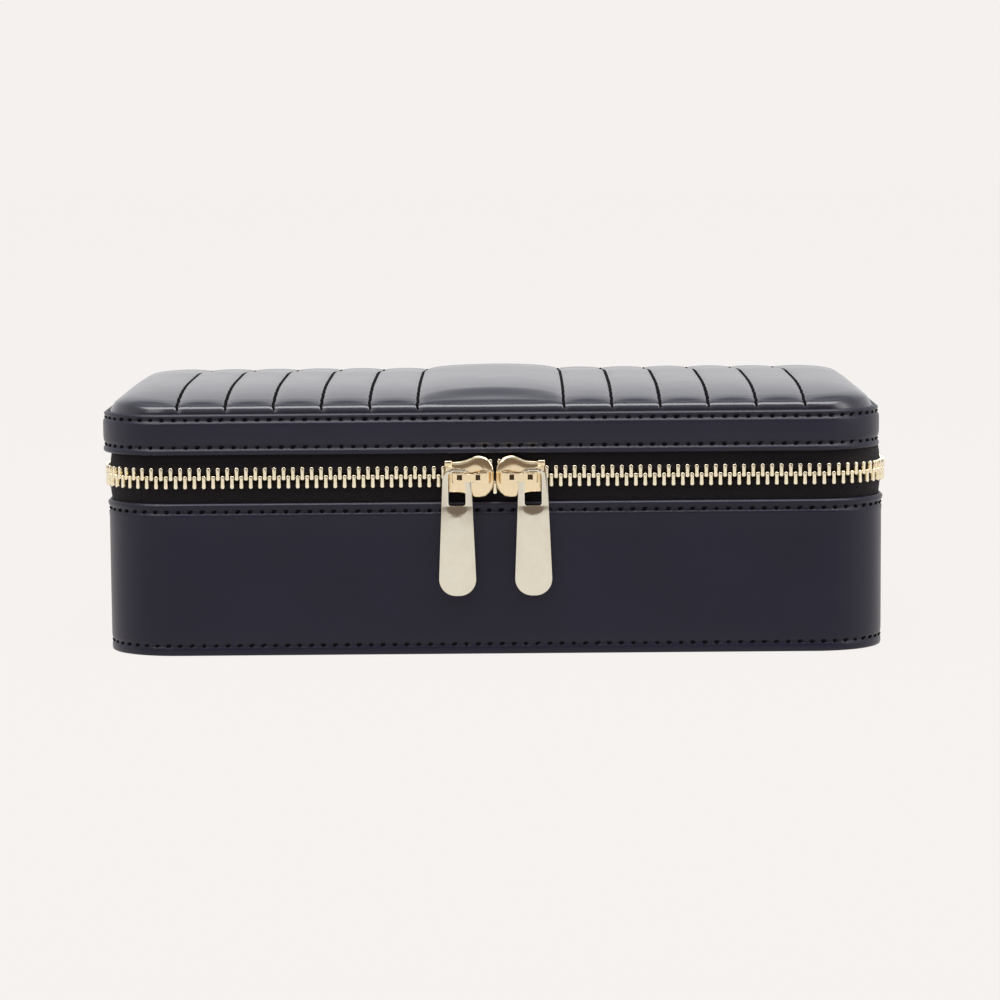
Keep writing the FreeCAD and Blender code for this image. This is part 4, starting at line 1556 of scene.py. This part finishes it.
    def build(self, palette: Palette) -> None:
        """Make both rows, the stops and the tapes.

        Args:
            palette: The materials.
        """
        for name, body, up, phase in (("lower", Body.BASE, -1, 0.0), ("upper", Body.LID, 1, 0.5)):
            for kind, bm in (("teeth", self.row(up, phase)), ("stops", self.stops(up))):
                make_piece(f"{kind}_{name}", bm, palette.teeth, body,
                           (f"zip_{kind}_{name}",), 50.0)
            low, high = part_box(f"zip_tape_{name}")
            hem = high.z - self.hem_depth if up > 0 else low.z + self.hem_depth
            make_piece(f"tape_{name}", self.tape(up, hem), palette.tape, body,
                       (f"zip_tape_{name}",), 70.0)


@dataclass
class ZipSlider:
    """One slider with its crown, and the pull that hangs from it."""

    side: int
    name: str
    body: Body
    pull_body: Body
    middle: float
    bend: float
    plate_thickness: float = 1.2 * MM
    narrow_corner: float = 0.5 * MM
    rail_round: float = 0.15 * MM
    knob_round: float = 0.32 * MM
    crown_height: float = 1.65 * MM
    crown_round: float = 0.34 * MM
    dent_margin: float = 0.1 * MM
    dent_depth: float = 0.55 * MM
    half_neck: float = 3.75 * MM
    half_tail: float = 5.15 * MM
    tail_round: float = 4.75 * MM
    neck_round: float = 2.9 * MM
    half_hole: float = 2.3 * MM
    hole_low: float = 9.95 * MM
    hole_high: float = 1.15 * MM
    hole_round: float = 0.7 * MM
    rim_round: float = 0.2 * MM
    lip: float = 2.1 * MM
    dish: float = 0.3 * MM
    bend_slope: float = 0.026
    body_box: tuple[Vector, Vector] = field(init=False)
    crown_box: tuple[Vector, Vector] = field(init=False)
    pull_box: tuple[Vector, Vector] = field(init=False)

    def __post_init__(self) -> None:
        """Read the slider's places from the frame."""
        self.body_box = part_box(f"{self.name}_slider_body")
        self.crown_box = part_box(f"{self.name}_slider_crown")
        self.pull_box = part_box(f"{self.name}_pull_tab")

    def x(self, out: float) -> float:
        """Give the x of a place, in millimetres out from the wide end."""
        near = min(abs(self.body_box[0].x), abs(self.body_box[1].x))
        return self.side * (near + out * MM)

    def out(self, x: float) -> float:
        """Give how far out from the wide end a place is, in millimetres."""
        return (abs(x) - abs(self.x(0.0))) / MM

    def outline(self) -> list[Point]:
        """Give the body's outline: a round wide end that runs into a straight narrow one."""
        upper = [(0.0, 1.3), (0.3, 2.9), (1.1, 4.3), (2.3, 5.2), (3.7, 5.62), (4.9, 5.6),
                 (6.1, 5.2), (7.4, 4.65), (8.8, 4.3), (10.4, 4.15), (13.0, 4.1)]
        return upper + [(out, -height) for out, height in reversed(upper)]

    def plate(self, bm: BMesh, back: float,
              levels: Iterable[tuple[float, float]]) -> None:
        """Add one plate of the body, built up from its back in smaller and smaller levels.

        Args:
            bm: The body's mesh.
            back: The y of its flat face.
            levels: Each level's share of the outline and its y.
        """
        corners = [bm.verts.new((self.x(out), back, self.middle + height * MM))
                   for out, height in self.outline()]
        bm.faces.new(corners)
        ends = [vert for vert in corners if abs(vert.co.x) > abs(self.x(12.0))]
        round_corners(bm, ends, self.narrow_corner, 3)
        cap = max((face for face in bm.faces if abs(face.calc_center_median().y - back) < TOUCH),
                  key=lambda face: face.calc_area())
        centre, before = Vector((self.x(6.6), 0.0, self.middle)), 1.0
        for share, y in levels:
            cap = only(bmesh.ops.extrude_face_region(bm, geom=[cap])["geom"], BMFace)[0]
            verts = list(cap.verts)
            bmesh.ops.scale(bm, verts=verts, vec=(share / before, 1.0, share / before),
                            space=Matrix.Translation(-centre))
            bmesh.ops.translate(bm, verts=verts, vec=(0.0, y - verts[0].co.y, 0.0))
            before = share

    def build_body(self, palette: Palette) -> None:
        """Make the body: a front plate with a raised rim, a back plate and their rails.

        Args:
            palette: The materials.
        """
        front, back = self.body_box[0].y, self.body_box[1].y
        bm = bmesh.new()
        bulge = ((1.0, 1.0), (0.985, 0.78), (0.955, 0.6), (0.91, 0.46), (0.86, 0.35),
                 (0.79, 0.24), (0.7, 0.13), (0.6, 0.06), (0.48, 0.02), (0.3, 0.0))
        self.plate(bm, front + self.plate_thickness,
                   [(share, front + y * MM) for share, y in bulge])
        dome = ((1.0, 0.5), (0.97, 0.18), (0.9, 0.03), (0.6, 0.0))
        self.plate(bm, back - self.plate_thickness,
                   [(share, back - y * MM) for share, y in dome])
        wedge = [(1.0, -0.9), (3.9, -0.25), (3.9, 0.25), (1.0, 0.9)]
        corners = [bm.verts.new((self.x(out), back - 1.1 * MM, self.middle + height * MM))
                   for out, height in wedge]
        extrude_faces(bm, [bm.faces.new(corners)], Vector((0.0, front + 2.2 * MM - back, 0.0)))
        for sign in (-1, 1):
            ends = sorted((self.x(7.6), self.x(12.9)))
            heights = sorted((self.middle + sign * 3.45 * MM, self.middle + sign * 4.08 * MM))
            for near, far in ((front + 0.6 * MM, front + 2.0 * MM),
                              (back - 2.0 * MM, back - 0.5 * MM)):
                rail = add_block(bm, Vector((ends[0], near, heights[0])),
                                 Vector((ends[1], far, heights[1])))
                round_edges(bm, edges_at(rail), self.rail_round)
        ends = sorted((self.x(11.2), self.x(13.25)))
        knob = add_block(bm, Vector((ends[0], front - 0.25 * MM, self.middle + 2.75 * MM)),
                         Vector((ends[1], front + 1.1 * MM, self.middle + 4.4 * MM)))
        round_edges(bm, edges_at(knob), self.knob_round, 3)
        make_piece(f"{self.name}_slider", bm, palette.slider, self.body,
                   (f"{self.name}_slider_body",), 42.0)

    def crown_half(self, out: float) -> float:
        """Give half the crown's height, which narrows to a saddle in its middle.

        Args:
            out: The place along it, in millimetres from the wide end.

        Returns:
            Half its height in millimetres.
        """
        saddle = math.exp(-((out - 6.5) / 1.7) ** 2)
        shoulder = math.exp(-((out - 2.4) / 1.7) ** 2)
        return 1.42 - 0.42 * saddle + 0.3 * shoulder

    def build_crown(self, palette: Palette) -> None:
        """Make the crown: a bent bridge with two dents, a saddle between them and two feet.

        Args:
            palette: The materials.
        """
        front = self.crown_box[0].y
        arch = [(0.75, 4.0), (0.72, 2.5), (0.85, 1.6), (1.2, 0.85), (1.8, 0.35), (2.6, 0.1),
                (3.6, 0.06), (5.0, 0.04), (6.6, 0.0), (8.2, 0.04), (9.4, 0.08), (10.3, 0.2),
                (10.9, 0.5), (11.2, 1.0), (11.3, 1.8), (11.3, 4.0), (9.2, 4.0), (9.15, 1.9),
                (8.8, 1.45), (8.0, 1.3), (6.6, 1.3), (4.6, 1.3), (3.9, 1.5), (3.6, 1.9),
                (3.5, 4.0)]
        bm = bmesh.new()
        corners = [bm.verts.new((self.x(out), front + y * MM, self.middle - self.crown_height))
                   for out, y in arch]
        extrude_faces(bm, [bm.faces.new(corners)], Vector((0.0, 0.0, 2 * self.crown_height)))
        cut_across(bm, 0, [self.x(place) for place in (3.6, 4.95, 5.8, 7.4, 8.45, 9.95)])
        cut_across(bm, 2, [self.middle - 0.65 * MM, self.middle + 0.95 * MM])
        for vert in bm.verts:
            out, lift = self.out(vert.co.x), vert.co.z - self.middle
            if abs(lift) > 1.2 * MM:
                half = self.crown_half(out) * MM
                if vert.co.y > front + 1.6 * MM:
                    half = min(half, 0.75 * MM if lift > 0 else 1.4 * MM)
                vert.co.z = self.middle + math.copysign(half, lift)
        hollow = [face for face in bm.faces if face.calc_center_median().y < front + 0.2 * MM
                  and abs(face.calc_center_median().z - self.middle - 0.15 * MM) < 0.7 * MM
                  and any(start < self.out(face.calc_center_median().x) < end
                          for start, end in ((3.65, 4.9), (8.5, 9.9)))]
        bmesh.ops.inset_region(bm, faces=hollow, thickness=self.dent_margin, depth=0.0)
        # Painted shade: each dent's floor is sunk and given the dark second material.
        for face in bmesh.ops.extrude_discrete_faces(bm, faces=hollow)["faces"]:
            bmesh.ops.translate(bm, verts=list(face.verts), vec=(0.0, self.dent_depth, 0.0))
            face.material_index = 1
        round_edges(bm, [edge for edge in sharp_edges(bm, 50.0)
                         if not any(face.material_index for vert in edge.verts
                                    for face in vert.link_faces)], self.crown_round, 4)
        make_piece(f"{self.name}_crown", bm, palette.slider, self.body,
                   (f"{self.name}_slider_crown",), 42.0, palette.painted_recess_shade)

    def build_pull(self, palette: Palette) -> None:
        """Make the pull: a tapered plate with a round tail and a window with a worn lower lip.

        Args:
            palette: The materials.
        """
        low, high = self.pull_box
        centre, top, tail = (low.x + high.x) / 2, high.z, low.z
        hole_low, hole_high, half_hole = top - self.hole_low, top - self.hole_high, self.half_hole
        bm = bmesh.new()
        corners = [bm.verts.new((centre + x, high.y, z)) for x, z in (
            (-self.half_tail, tail), (self.half_tail, tail), (self.half_neck, top),
            (-self.half_neck, top))]
        bm.faces.new(corners)
        round_corners(bm, corners[:2], self.tail_round, 14)
        round_corners(bm, [vert for vert in bm.verts if abs(vert.co.z - top) < TOUCH],
                      self.neck_round, 8)
        cut_across(bm, 2, [hole_low, hole_high])
        cut_across(bm, 0, [centre - half_hole, centre + half_hole])
        window = [face for face in bm.faces
                  if hole_low < face.calc_center_median().z < hole_high
                  and abs(face.calc_center_median().x - centre) < half_hole]
        bmesh.ops.delete(bm, geom=window, context="FACES")
        inner = [vert for vert in bm.verts
                 if abs(abs(vert.co.x - centre) - half_hole) < TOUCH
                 and min(abs(vert.co.z - hole_low), abs(vert.co.z - hole_high)) < TOUCH]
        round_corners(bm, inner, self.hole_round, 4)
        cut_across(bm, 2, [hole_low - self.lip * share
                           for share in (0.15, 0.35, 0.55, 0.75, 0.9, 1.05)])
        cut_across(bm, 2, even(hole_low - self.bend - 1.0 * MM, hole_low - 1.2 * self.lip, 9))
        cut_across(bm, 0, [centre + half_hole * share
                           for share in (-1.2, -0.75, -0.4, 0, 0.4, 0.75, 1.2)])
        extrude_faces(bm, bm.faces, Vector((0.0, low.y - high.y, 0.0)))
        rim = [edge for edge in sharp_edges(bm)
               if abs(edge.verts[0].co.y - edge.verts[1].co.y) < TOUCH]
        round_edges(bm, rim, self.rim_round, 3)
        for vert in bm.verts:
            across = (vert.co.x - centre) / (half_hole * 1.22)
            down = (hole_low - vert.co.z) / self.lip
            if vert.co.y < low.y + 0.45 * MM and down > -0.2:
                vert.co.y += self.dish * max(0.0, 1.0 - across ** 2 - max(down, 0.0) ** 2)
            share = min(max((vert.co.z - hole_low) / self.bend + 1.0, 0.0), 1.0)
            vert.co.y += self.bend_slope * self.bend * share * share
        make_piece(f"{self.name}_pull", bm, palette.pull, self.pull_body,
                   (f"{self.name}_pull_tab",), 35.0)

    def build(self, palette: Palette) -> None:
        """Make the whole slider.

        Args:
            palette: The materials.
        """
        self.build_body(palette)
        self.build_crown(palette)
        self.build_pull(palette)


# ---------------------------------------------------------------- inside


@dataclass
class Interior:
    """The lined inside: ring rolls, dividers, mirror, hooks and pocket."""

    roll_count: int = 7
    roll_end: float = 1.6 * MM
    roll_dent: float = 0.45 * MM
    divider_round: float = 1.0 * MM
    mirror_lip: float = 2.0 * MM
    mirror_round: float = 0.75 * MM
    hook_count: int = 5
    hook_inset: float = 1.1 * MM
    hook_wire: float = 0.75 * MM
    hook_bend: float = 1.7 * MM
    hook_foot: float = 0.6 * MM
    hook_ball: float = 1.15 * MM
    pocket_side: float = 6.0 * MM
    pocket_end: float = 7.0 * MM
    pocket_cloth: float = 1.0 * MM
    pocket_gather: float = 0.45 * MM
    elastic_ruffle: float = 0.18 * MM
    elastic_round: float = 0.3 * MM

    def build(self, palette: Palette) -> None:
        """Make every fitting.

        Args:
            palette: The materials.
        """
        self.rolls(palette)
        self.dividers(palette)
        self.mirror(palette)
        self.hooks(palette)
        self.pocket(palette)

    def rolls(self, palette: Palette) -> None:
        """Make the padded ring rolls, each a soft bar with a rounded top."""
        for number in range(1, self.roll_count + 1):
            name = f"ring_roll_{number}"
            low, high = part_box(name)
            bm = block(low, high)
            half = (high.y - low.y) / 2
            top = [edge for edge in edges_above(bm, high.z)
                   if abs(edge.verts[0].co.x - edge.verts[1].co.x) > half]
            round_edges(bm, top, half * 0.97, 10)
            cut_across(bm, 0, even(low.x, high.x, 26))
            ends = [edge for edge in sharp_edges(bm) if edge.verts[0].co.z > low.z + 1e-4]
            round_edges(bm, ends, self.roll_end, 4)
            for vert in bm.verts:
                share = (vert.co.z - low.z) / (high.z - low.z)
                dent = noise.noise(Vector((vert.co.x * 70, vert.co.y * 60, number * 3.1)))
                vert.co.z += self.roll_dent * dent * share * share
            roll = make_piece(f"{name}_pad", bm, palette.suede, Body.BASE, (name,))

    def dividers(self, palette: Palette) -> None:
        """Make the compartment walls, softened by their suede cover."""
        for name in ("divider_centre", "divider_long", "divider_front", "divider_rear_left",
                     "divider_rear_right"):
            low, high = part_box(name)
            bm = block(low, high)
            round_edges(bm, edges_above(bm, high.z), self.divider_round, 4)
            make_piece(f"{name}_wall", bm, palette.suede, Body.BASE, (name,))

    def mirror(self, palette: Palette) -> None:
        """Make the mirror's padded suede frame."""
        low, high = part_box("mirror_frame")
        glass_low, glass_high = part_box("mirror")
        bm = block(low, high)
        lip = Vector((self.mirror_lip, self.mirror_lip, 0.0))
        window_low, window_high = glass_low + lip, glass_high - lip
        cut_across(bm, 0, [window_low.x, window_high.x])
        cut_across(bm, 1, [window_low.y, window_high.y])
        window = [face for face in bm.faces if abs(face.normal.z) > 0.5
                  and window_low.x < face.calc_center_median().x < window_high.x
                  and window_low.y < face.calc_center_median().y < window_high.y]
        border = [edge for face in window for edge in face.edges]
        bmesh.ops.delete(bm, geom=window, context="FACES_ONLY")
        bmesh.ops.bridge_loops(bm, edges=[edge for edge in set(border) if edge.is_valid])
        edges = [edge for edge in sharp_edges(bm)
                 if all(vert.co.z < low.z + 1e-5 for vert in edge.verts)]
        round_edges(bm, edges, self.mirror_round, 4)
        make_piece("mirror_surround", bm, palette.suede, Body.LID, ("mirror_frame",))

    def hooks(self, palette: Palette) -> None:
        """Make the necklace hooks: a base disc and a bent wire ending in a ball."""
        low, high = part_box("necklace_hooks")
        y, bend = high.y - self.hook_inset, low.z + self.hook_bend + self.hook_wire
        bm = bmesh.new()
        for share in (number / (self.hook_count - 1) for number in range(self.hook_count)):
            x = low.x + self.hook_inset + (high.x - low.x - 2 * self.hook_inset) * share
            foot = Matrix.Translation((x, y, high.z - self.hook_foot / 2))
            bmesh.ops.create_cone(bm, cap_ends=True, segments=20, radius1=1.9 * MM,
                                  radius2=2.1 * MM, depth=self.hook_foot, matrix=foot)
            ring = bmesh.ops.create_circle(bm, cap_ends=False, segments=10,
                                           radius=self.hook_wire, matrix=foot)["verts"]
            edges = extrude_once(bm, edges_at(ring), Vector((0.0, 0.0, bend - foot.translation.z)))
            turned = bmesh.ops.spin(bm, geom=[*verts_of(edges), *edges], axis=(1.0, 0.0, 0.0),
                                    cent=(x, y - self.hook_bend, bend),
                                    angle=-math.radians(165), steps=10, use_duplicate=False)
            last = only(turned["geom_last"], BMVert)
            tip = sum((vert.co for vert in last), Vector()) / len(last)
            bmesh.ops.create_uvsphere(bm, u_segments=12, v_segments=8, radius=self.hook_ball,
                                      matrix=Matrix.Translation(tip))
        make_piece("hook_row", bm, palette.slider, Body.LID, ("necklace_hooks",))

    def pocket(self, palette: Palette) -> None:
        """Make the gathered necklace pocket and its elastic mouth."""
        low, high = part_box("necklace_pocket")
        bm = bmesh.new()
        bmesh.ops.create_grid(bm, x_segments=96, y_segments=30, size=0.5)
        flat = high - low
        for vert in bm.verts:
            u, v = vert.co.x + 0.5, vert.co.y + 0.5
            side = min(1.0, min(u, 1 - u) * flat.x / self.pocket_side)
            belly = eased(side * min(1.0, (1 - v) * flat.y / self.pocket_end))
            gather = math.sin(u * 2 * math.pi * 21 + 1.5 * math.sin(u * 17)) * (1 - v) ** 1.6
            z = high.z - 0.5 * MM - belly * (flat.z - 1.3 * MM)
            z += self.pocket_gather * gather * side
            vert.co = Vector((low.x + u * flat.x, low.y + v * flat.y, z))
        bmesh.ops.solidify(bm, geom=list(bm.faces), thickness=self.pocket_cloth)
        pocket = make_piece("gathered_pocket", bm, palette.suede, Body.LID,
                            ("necklace_pocket",), 70.0)
        low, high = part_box("pocket_elastic")
        bm = block(low, high)
        cut_across(bm, 0, even(low.x, high.x, 150))
        for vert in bm.verts:
            vert.co.z += self.elastic_ruffle * math.sin(vert.co.x / (1.1 * MM))
        round_edges(bm, sharp_edges(bm), self.elastic_round)
        make_piece("pocket_mouth_elastic", bm, palette.elastic, Body.LID,
                   ("pocket_elastic",))


@dataclass
class Spine:
    """The leather hinge that bends across the gap at the back, and its lining."""

    tuck: float = 1.4 * MM
    side_tuck: float = 1.0 * MM
    thinner: float = 0.4 * MM
    buckle: float = 0.08 * MM
    edge_round: float = 0.2 * MM

    def band(self, front: float, back: float, low: float, high: float, half: float) -> BMesh:
        """Make one upright band across the back.

        Args:
            front: The y of its inner face.
            back: The y of its outer face.
            low: Its lower edge.
            high: Its upper edge.
            half: Half its width.

        Returns:
            The band.
        """
        bm = block(Vector((-half, front, low)), Vector((half, back, high)))
        cut_across(bm, 2, even(low, high, 22))
        cut_across(bm, 0, even(-half, half, 40))
        for vert in bm.verts:
            vert.co.y += self.buckle * noise.noise(vert.co * 90.0)
        round_edges(bm, sharp_edges(bm), self.edge_round)
        return bm

    def build(self, palette: Palette) -> None:
        """Make the spine and its lining as bands across the gap between the base and the lid.

        Args:
            palette: The materials.
        """
        low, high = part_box("spine_leather")
        for node, name, material, slot, shift, wider in (
                ("spine_leather", "hinge_spine", palette.leather, Slot.LEATHER, 0.5 * MM,
                 self.side_tuck),
                ("spine_lining", "hinge_lining", palette.suede, Slot.SUEDE, 0.3 * MM, 0.0)):
            low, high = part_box(node)
            bm = self.band(low.y - shift, high.y - shift - self.thinner, low.z - self.tuck,
                           high.z + self.tuck, high.x + wider)
            piece = make_piece(name, bm, material, None, (node,), 60.0)
            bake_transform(piece)


# ---------------------------------------------------------------- studio


@dataclass(frozen=True)
class Studio:
    """The pale floor, the soft light and the camera."""

    backdrop: Colour = (0.913, 0.879, 0.855)
    floor_shade: float = 0.012
    horizon: Colour = (0.90, 0.89, 0.90)
    upper_wall: Colour = (0.80, 0.80, 0.82)
    ceiling: Colour = (0.50, 0.52, 0.56)
    dark_wall: Colour = (0.20, 0.155, 0.125)
    lens: float = 148.28
    camera_place: Vector = Vector((4.0 * MM, -1172.5 * MM, 148.0 * MM))
    pitch: float = math.radians(5.523)
    yaw: float = math.radians(0.14)
    roll: float = math.radians(0.47)
    aim: Vector = Vector((0.0, 0.0, 40.0 * MM))
    floor_half: float = 6.0

    def camera(self) -> None:
        """Place the camera low in front of the case, as for a shelf-height view."""
        data = bpy.data.cameras.new("camera")
        data.lens = self.lens
        data.sensor_width = 36.0
        data.clip_start = 0.05
        camera = bpy.data.objects.new("camera", data)
        bpy.context.scene.collection.objects.link(camera)
        turn = Matrix.Rotation(self.yaw, 4, "Z") @ Matrix.Rotation(
            math.pi / 2 - self.pitch, 4, "X") @ Matrix.Rotation(-self.roll, 4, "Z")
        camera.matrix_world = Matrix.Translation(self.camera_place) @ turn
        bpy.context.scene.camera = camera

    def light(self, name: str, place: tuple[float, float, float], size: tuple[float, float],
              power: float) -> None:
        """Add a white soft box that faces the case.

        Args:
            name: The light's name.
            place: Where it stands.
            size: Its width and height.
            power: Its power in watts.
        """
        data = bpy.data.lights.new(name, "AREA")
        data.shape = "RECTANGLE"
        data.size, data.size_y = size
        data.energy = power
        lamp = bpy.data.objects.new(name, data)
        bpy.context.scene.collection.objects.link(lamp)
        turn = (self.aim - Vector(place)).to_track_quat("-Z", "Y").to_matrix().to_4x4()
        lamp.matrix_world = Matrix.Translation(place) @ turn

    def floor(self) -> None:
        """Lay the pale floor, which glows evenly so that it meets the backdrop unseen."""
        bm = bmesh.new()
        bmesh.ops.create_grid(bm, x_segments=1, y_segments=1, size=self.floor_half)
        mesh = bpy.data.meshes.new("floor")
        bm.to_mesh(mesh)
        bm.free()
        surface = Surface("pale floor")
        share = self.floor_shade
        surface.set(Base_Color=tuple(part * share for part in self.backdrop) + (1.0,),
                    Roughness=1.0, Specular_IOR_Level=0.0, Emission_Strength=1.0,
                    Emission_Color=tuple(part * (1 - share) for part in self.backdrop) + (1.0,))
        mesh.materials.append(surface.material)
        floor = bpy.data.objects.new("floor", mesh)
        bpy.context.scene.collection.objects.link(floor)

    def world(self) -> None:
        """Light the case all round, darker from above and from the wall in front of it."""
        world = bpy.data.worlds.new("studio")
        bpy.context.scene.world = world
        world.use_nodes = True
        nodes = Nodes(world.node_tree)
        world.node_tree.nodes.clear()
        place = nodes.add("TexCoord").outputs["Generated"]
        parts = nodes.add("SeparateXYZ")
        nodes.link(place, parts.inputs[0])
        height = nodes.add("ValToRGB")
        nodes.link(nodes.math("ADD", nodes.math("MULTIPLY", parts.outputs["Z"], 0.5), 0.5),
                   height.inputs["Fac"])
        ramp = height.color_ramp
        ramp.elements[0].position, ramp.elements[0].color = 0.5, (*self.horizon, 1.0)
        ramp.elements[1].position, ramp.elements[1].color = 1.0, (*self.ceiling, 1.0)
        ramp.elements.new(0.62).color = (*self.upper_wall, 1.0)
        below = nodes.ramp(parts.outputs["Z"], -0.03, 0.03)
        above = nodes.ramp(parts.outputs["Z"], 0.62, 0.45)
        ahead = nodes.ramp(parts.outputs["Y"], -0.25, -0.6)
        shade = nodes.math("MULTIPLY", nodes.math("MULTIPLY", below, above), ahead)
        dimmed = nodes.add("Mix", data_type="RGBA")
        nodes.link(shade, dimmed.inputs["Factor"])
        nodes.link(height.outputs["Color"], dimmed.inputs[6])
        dimmed.inputs[7].default_value = (*self.dark_wall, 1.0)
        around = nodes.add("Background")
        nodes.link(dimmed.outputs[2], around.inputs["Color"])
        seen = nodes.add("Background")
        seen.inputs["Color"].default_value = (*self.backdrop, 1.0)
        rays = nodes.add("LightPath")
        choose = nodes.add("MixShader")
        nodes.link(rays.outputs["Is Camera Ray"], choose.inputs[0])
        nodes.link(around.outputs[0], choose.inputs[1])
        nodes.link(seen.outputs[0], choose.inputs[2])
        leave = nodes.add("OutputWorld")
        nodes.link(choose.outputs[0], leave.inputs["Surface"])

    def build(self) -> None:
        """Set up the camera, the floor and the lights."""
        bpy.context.scene.view_settings.view_transform = "Standard"
        self.camera()
        self.floor()
        self.world()
        for name, place, size, power in (("top_box", (0.0, -0.3, 1.1), (1.8, 0.6), 22.2),
                                         ("front_box", (-0.9, -1.2, 0.9), (0.8, 0.6), 4.0),
                                         ("right_box", (1.3, -0.6, 0.7), (0.6, 0.9), 5.0)):
            self.light(name, place, size, power)


# ---------------------------------------------------------------- the case


def dress_nodes(palette: Palette) -> None:
    """Give every CAD node that still shows its finish.

    Args:
        palette: The materials.
    """
    slots = {part["node"]: part["material_slot"] for part in frame["record"]["subparts"]}
    for name, node in frame["nodes"].items():
        material = palette.for_slot(Slot(slots[name]))
        node.data.materials.clear()
        node.data.materials.append(material)


def main() -> None:
    """Build the case, sub-assembly by sub-assembly."""
    logging.basicConfig(level=logging.INFO, format="%(message)s")
    Studio().build()
    palette = Palette()
    dress_nodes(palette)
    sides = SideLeathers()
    sides.build(palette)
    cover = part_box("lid_top_leather")[1]
    QuiltedTop(PlanOutline(cover.x, cover.y, PAD_CORNER), sides.lid_top - PAD_SEAT).build(palette)
    middle = (sides.base_top + sides.lid_low) / 2 + ZIP_LIFT
    ZipChain(sides.outline, middle).build(palette)
    ZipSlider(-1, "left", Body.LEFT_SLIDER, Body.LEFT_PULL, middle, 10.5 * MM).build(palette)
    ZipSlider(1, "right", Body.RIGHT_SLIDER, Body.RIGHT_PULL, middle, 5.0 * MM).build(palette)
    Interior().build(palette)
    Spine().build(palette)


if __name__ == "__main__":
    main()
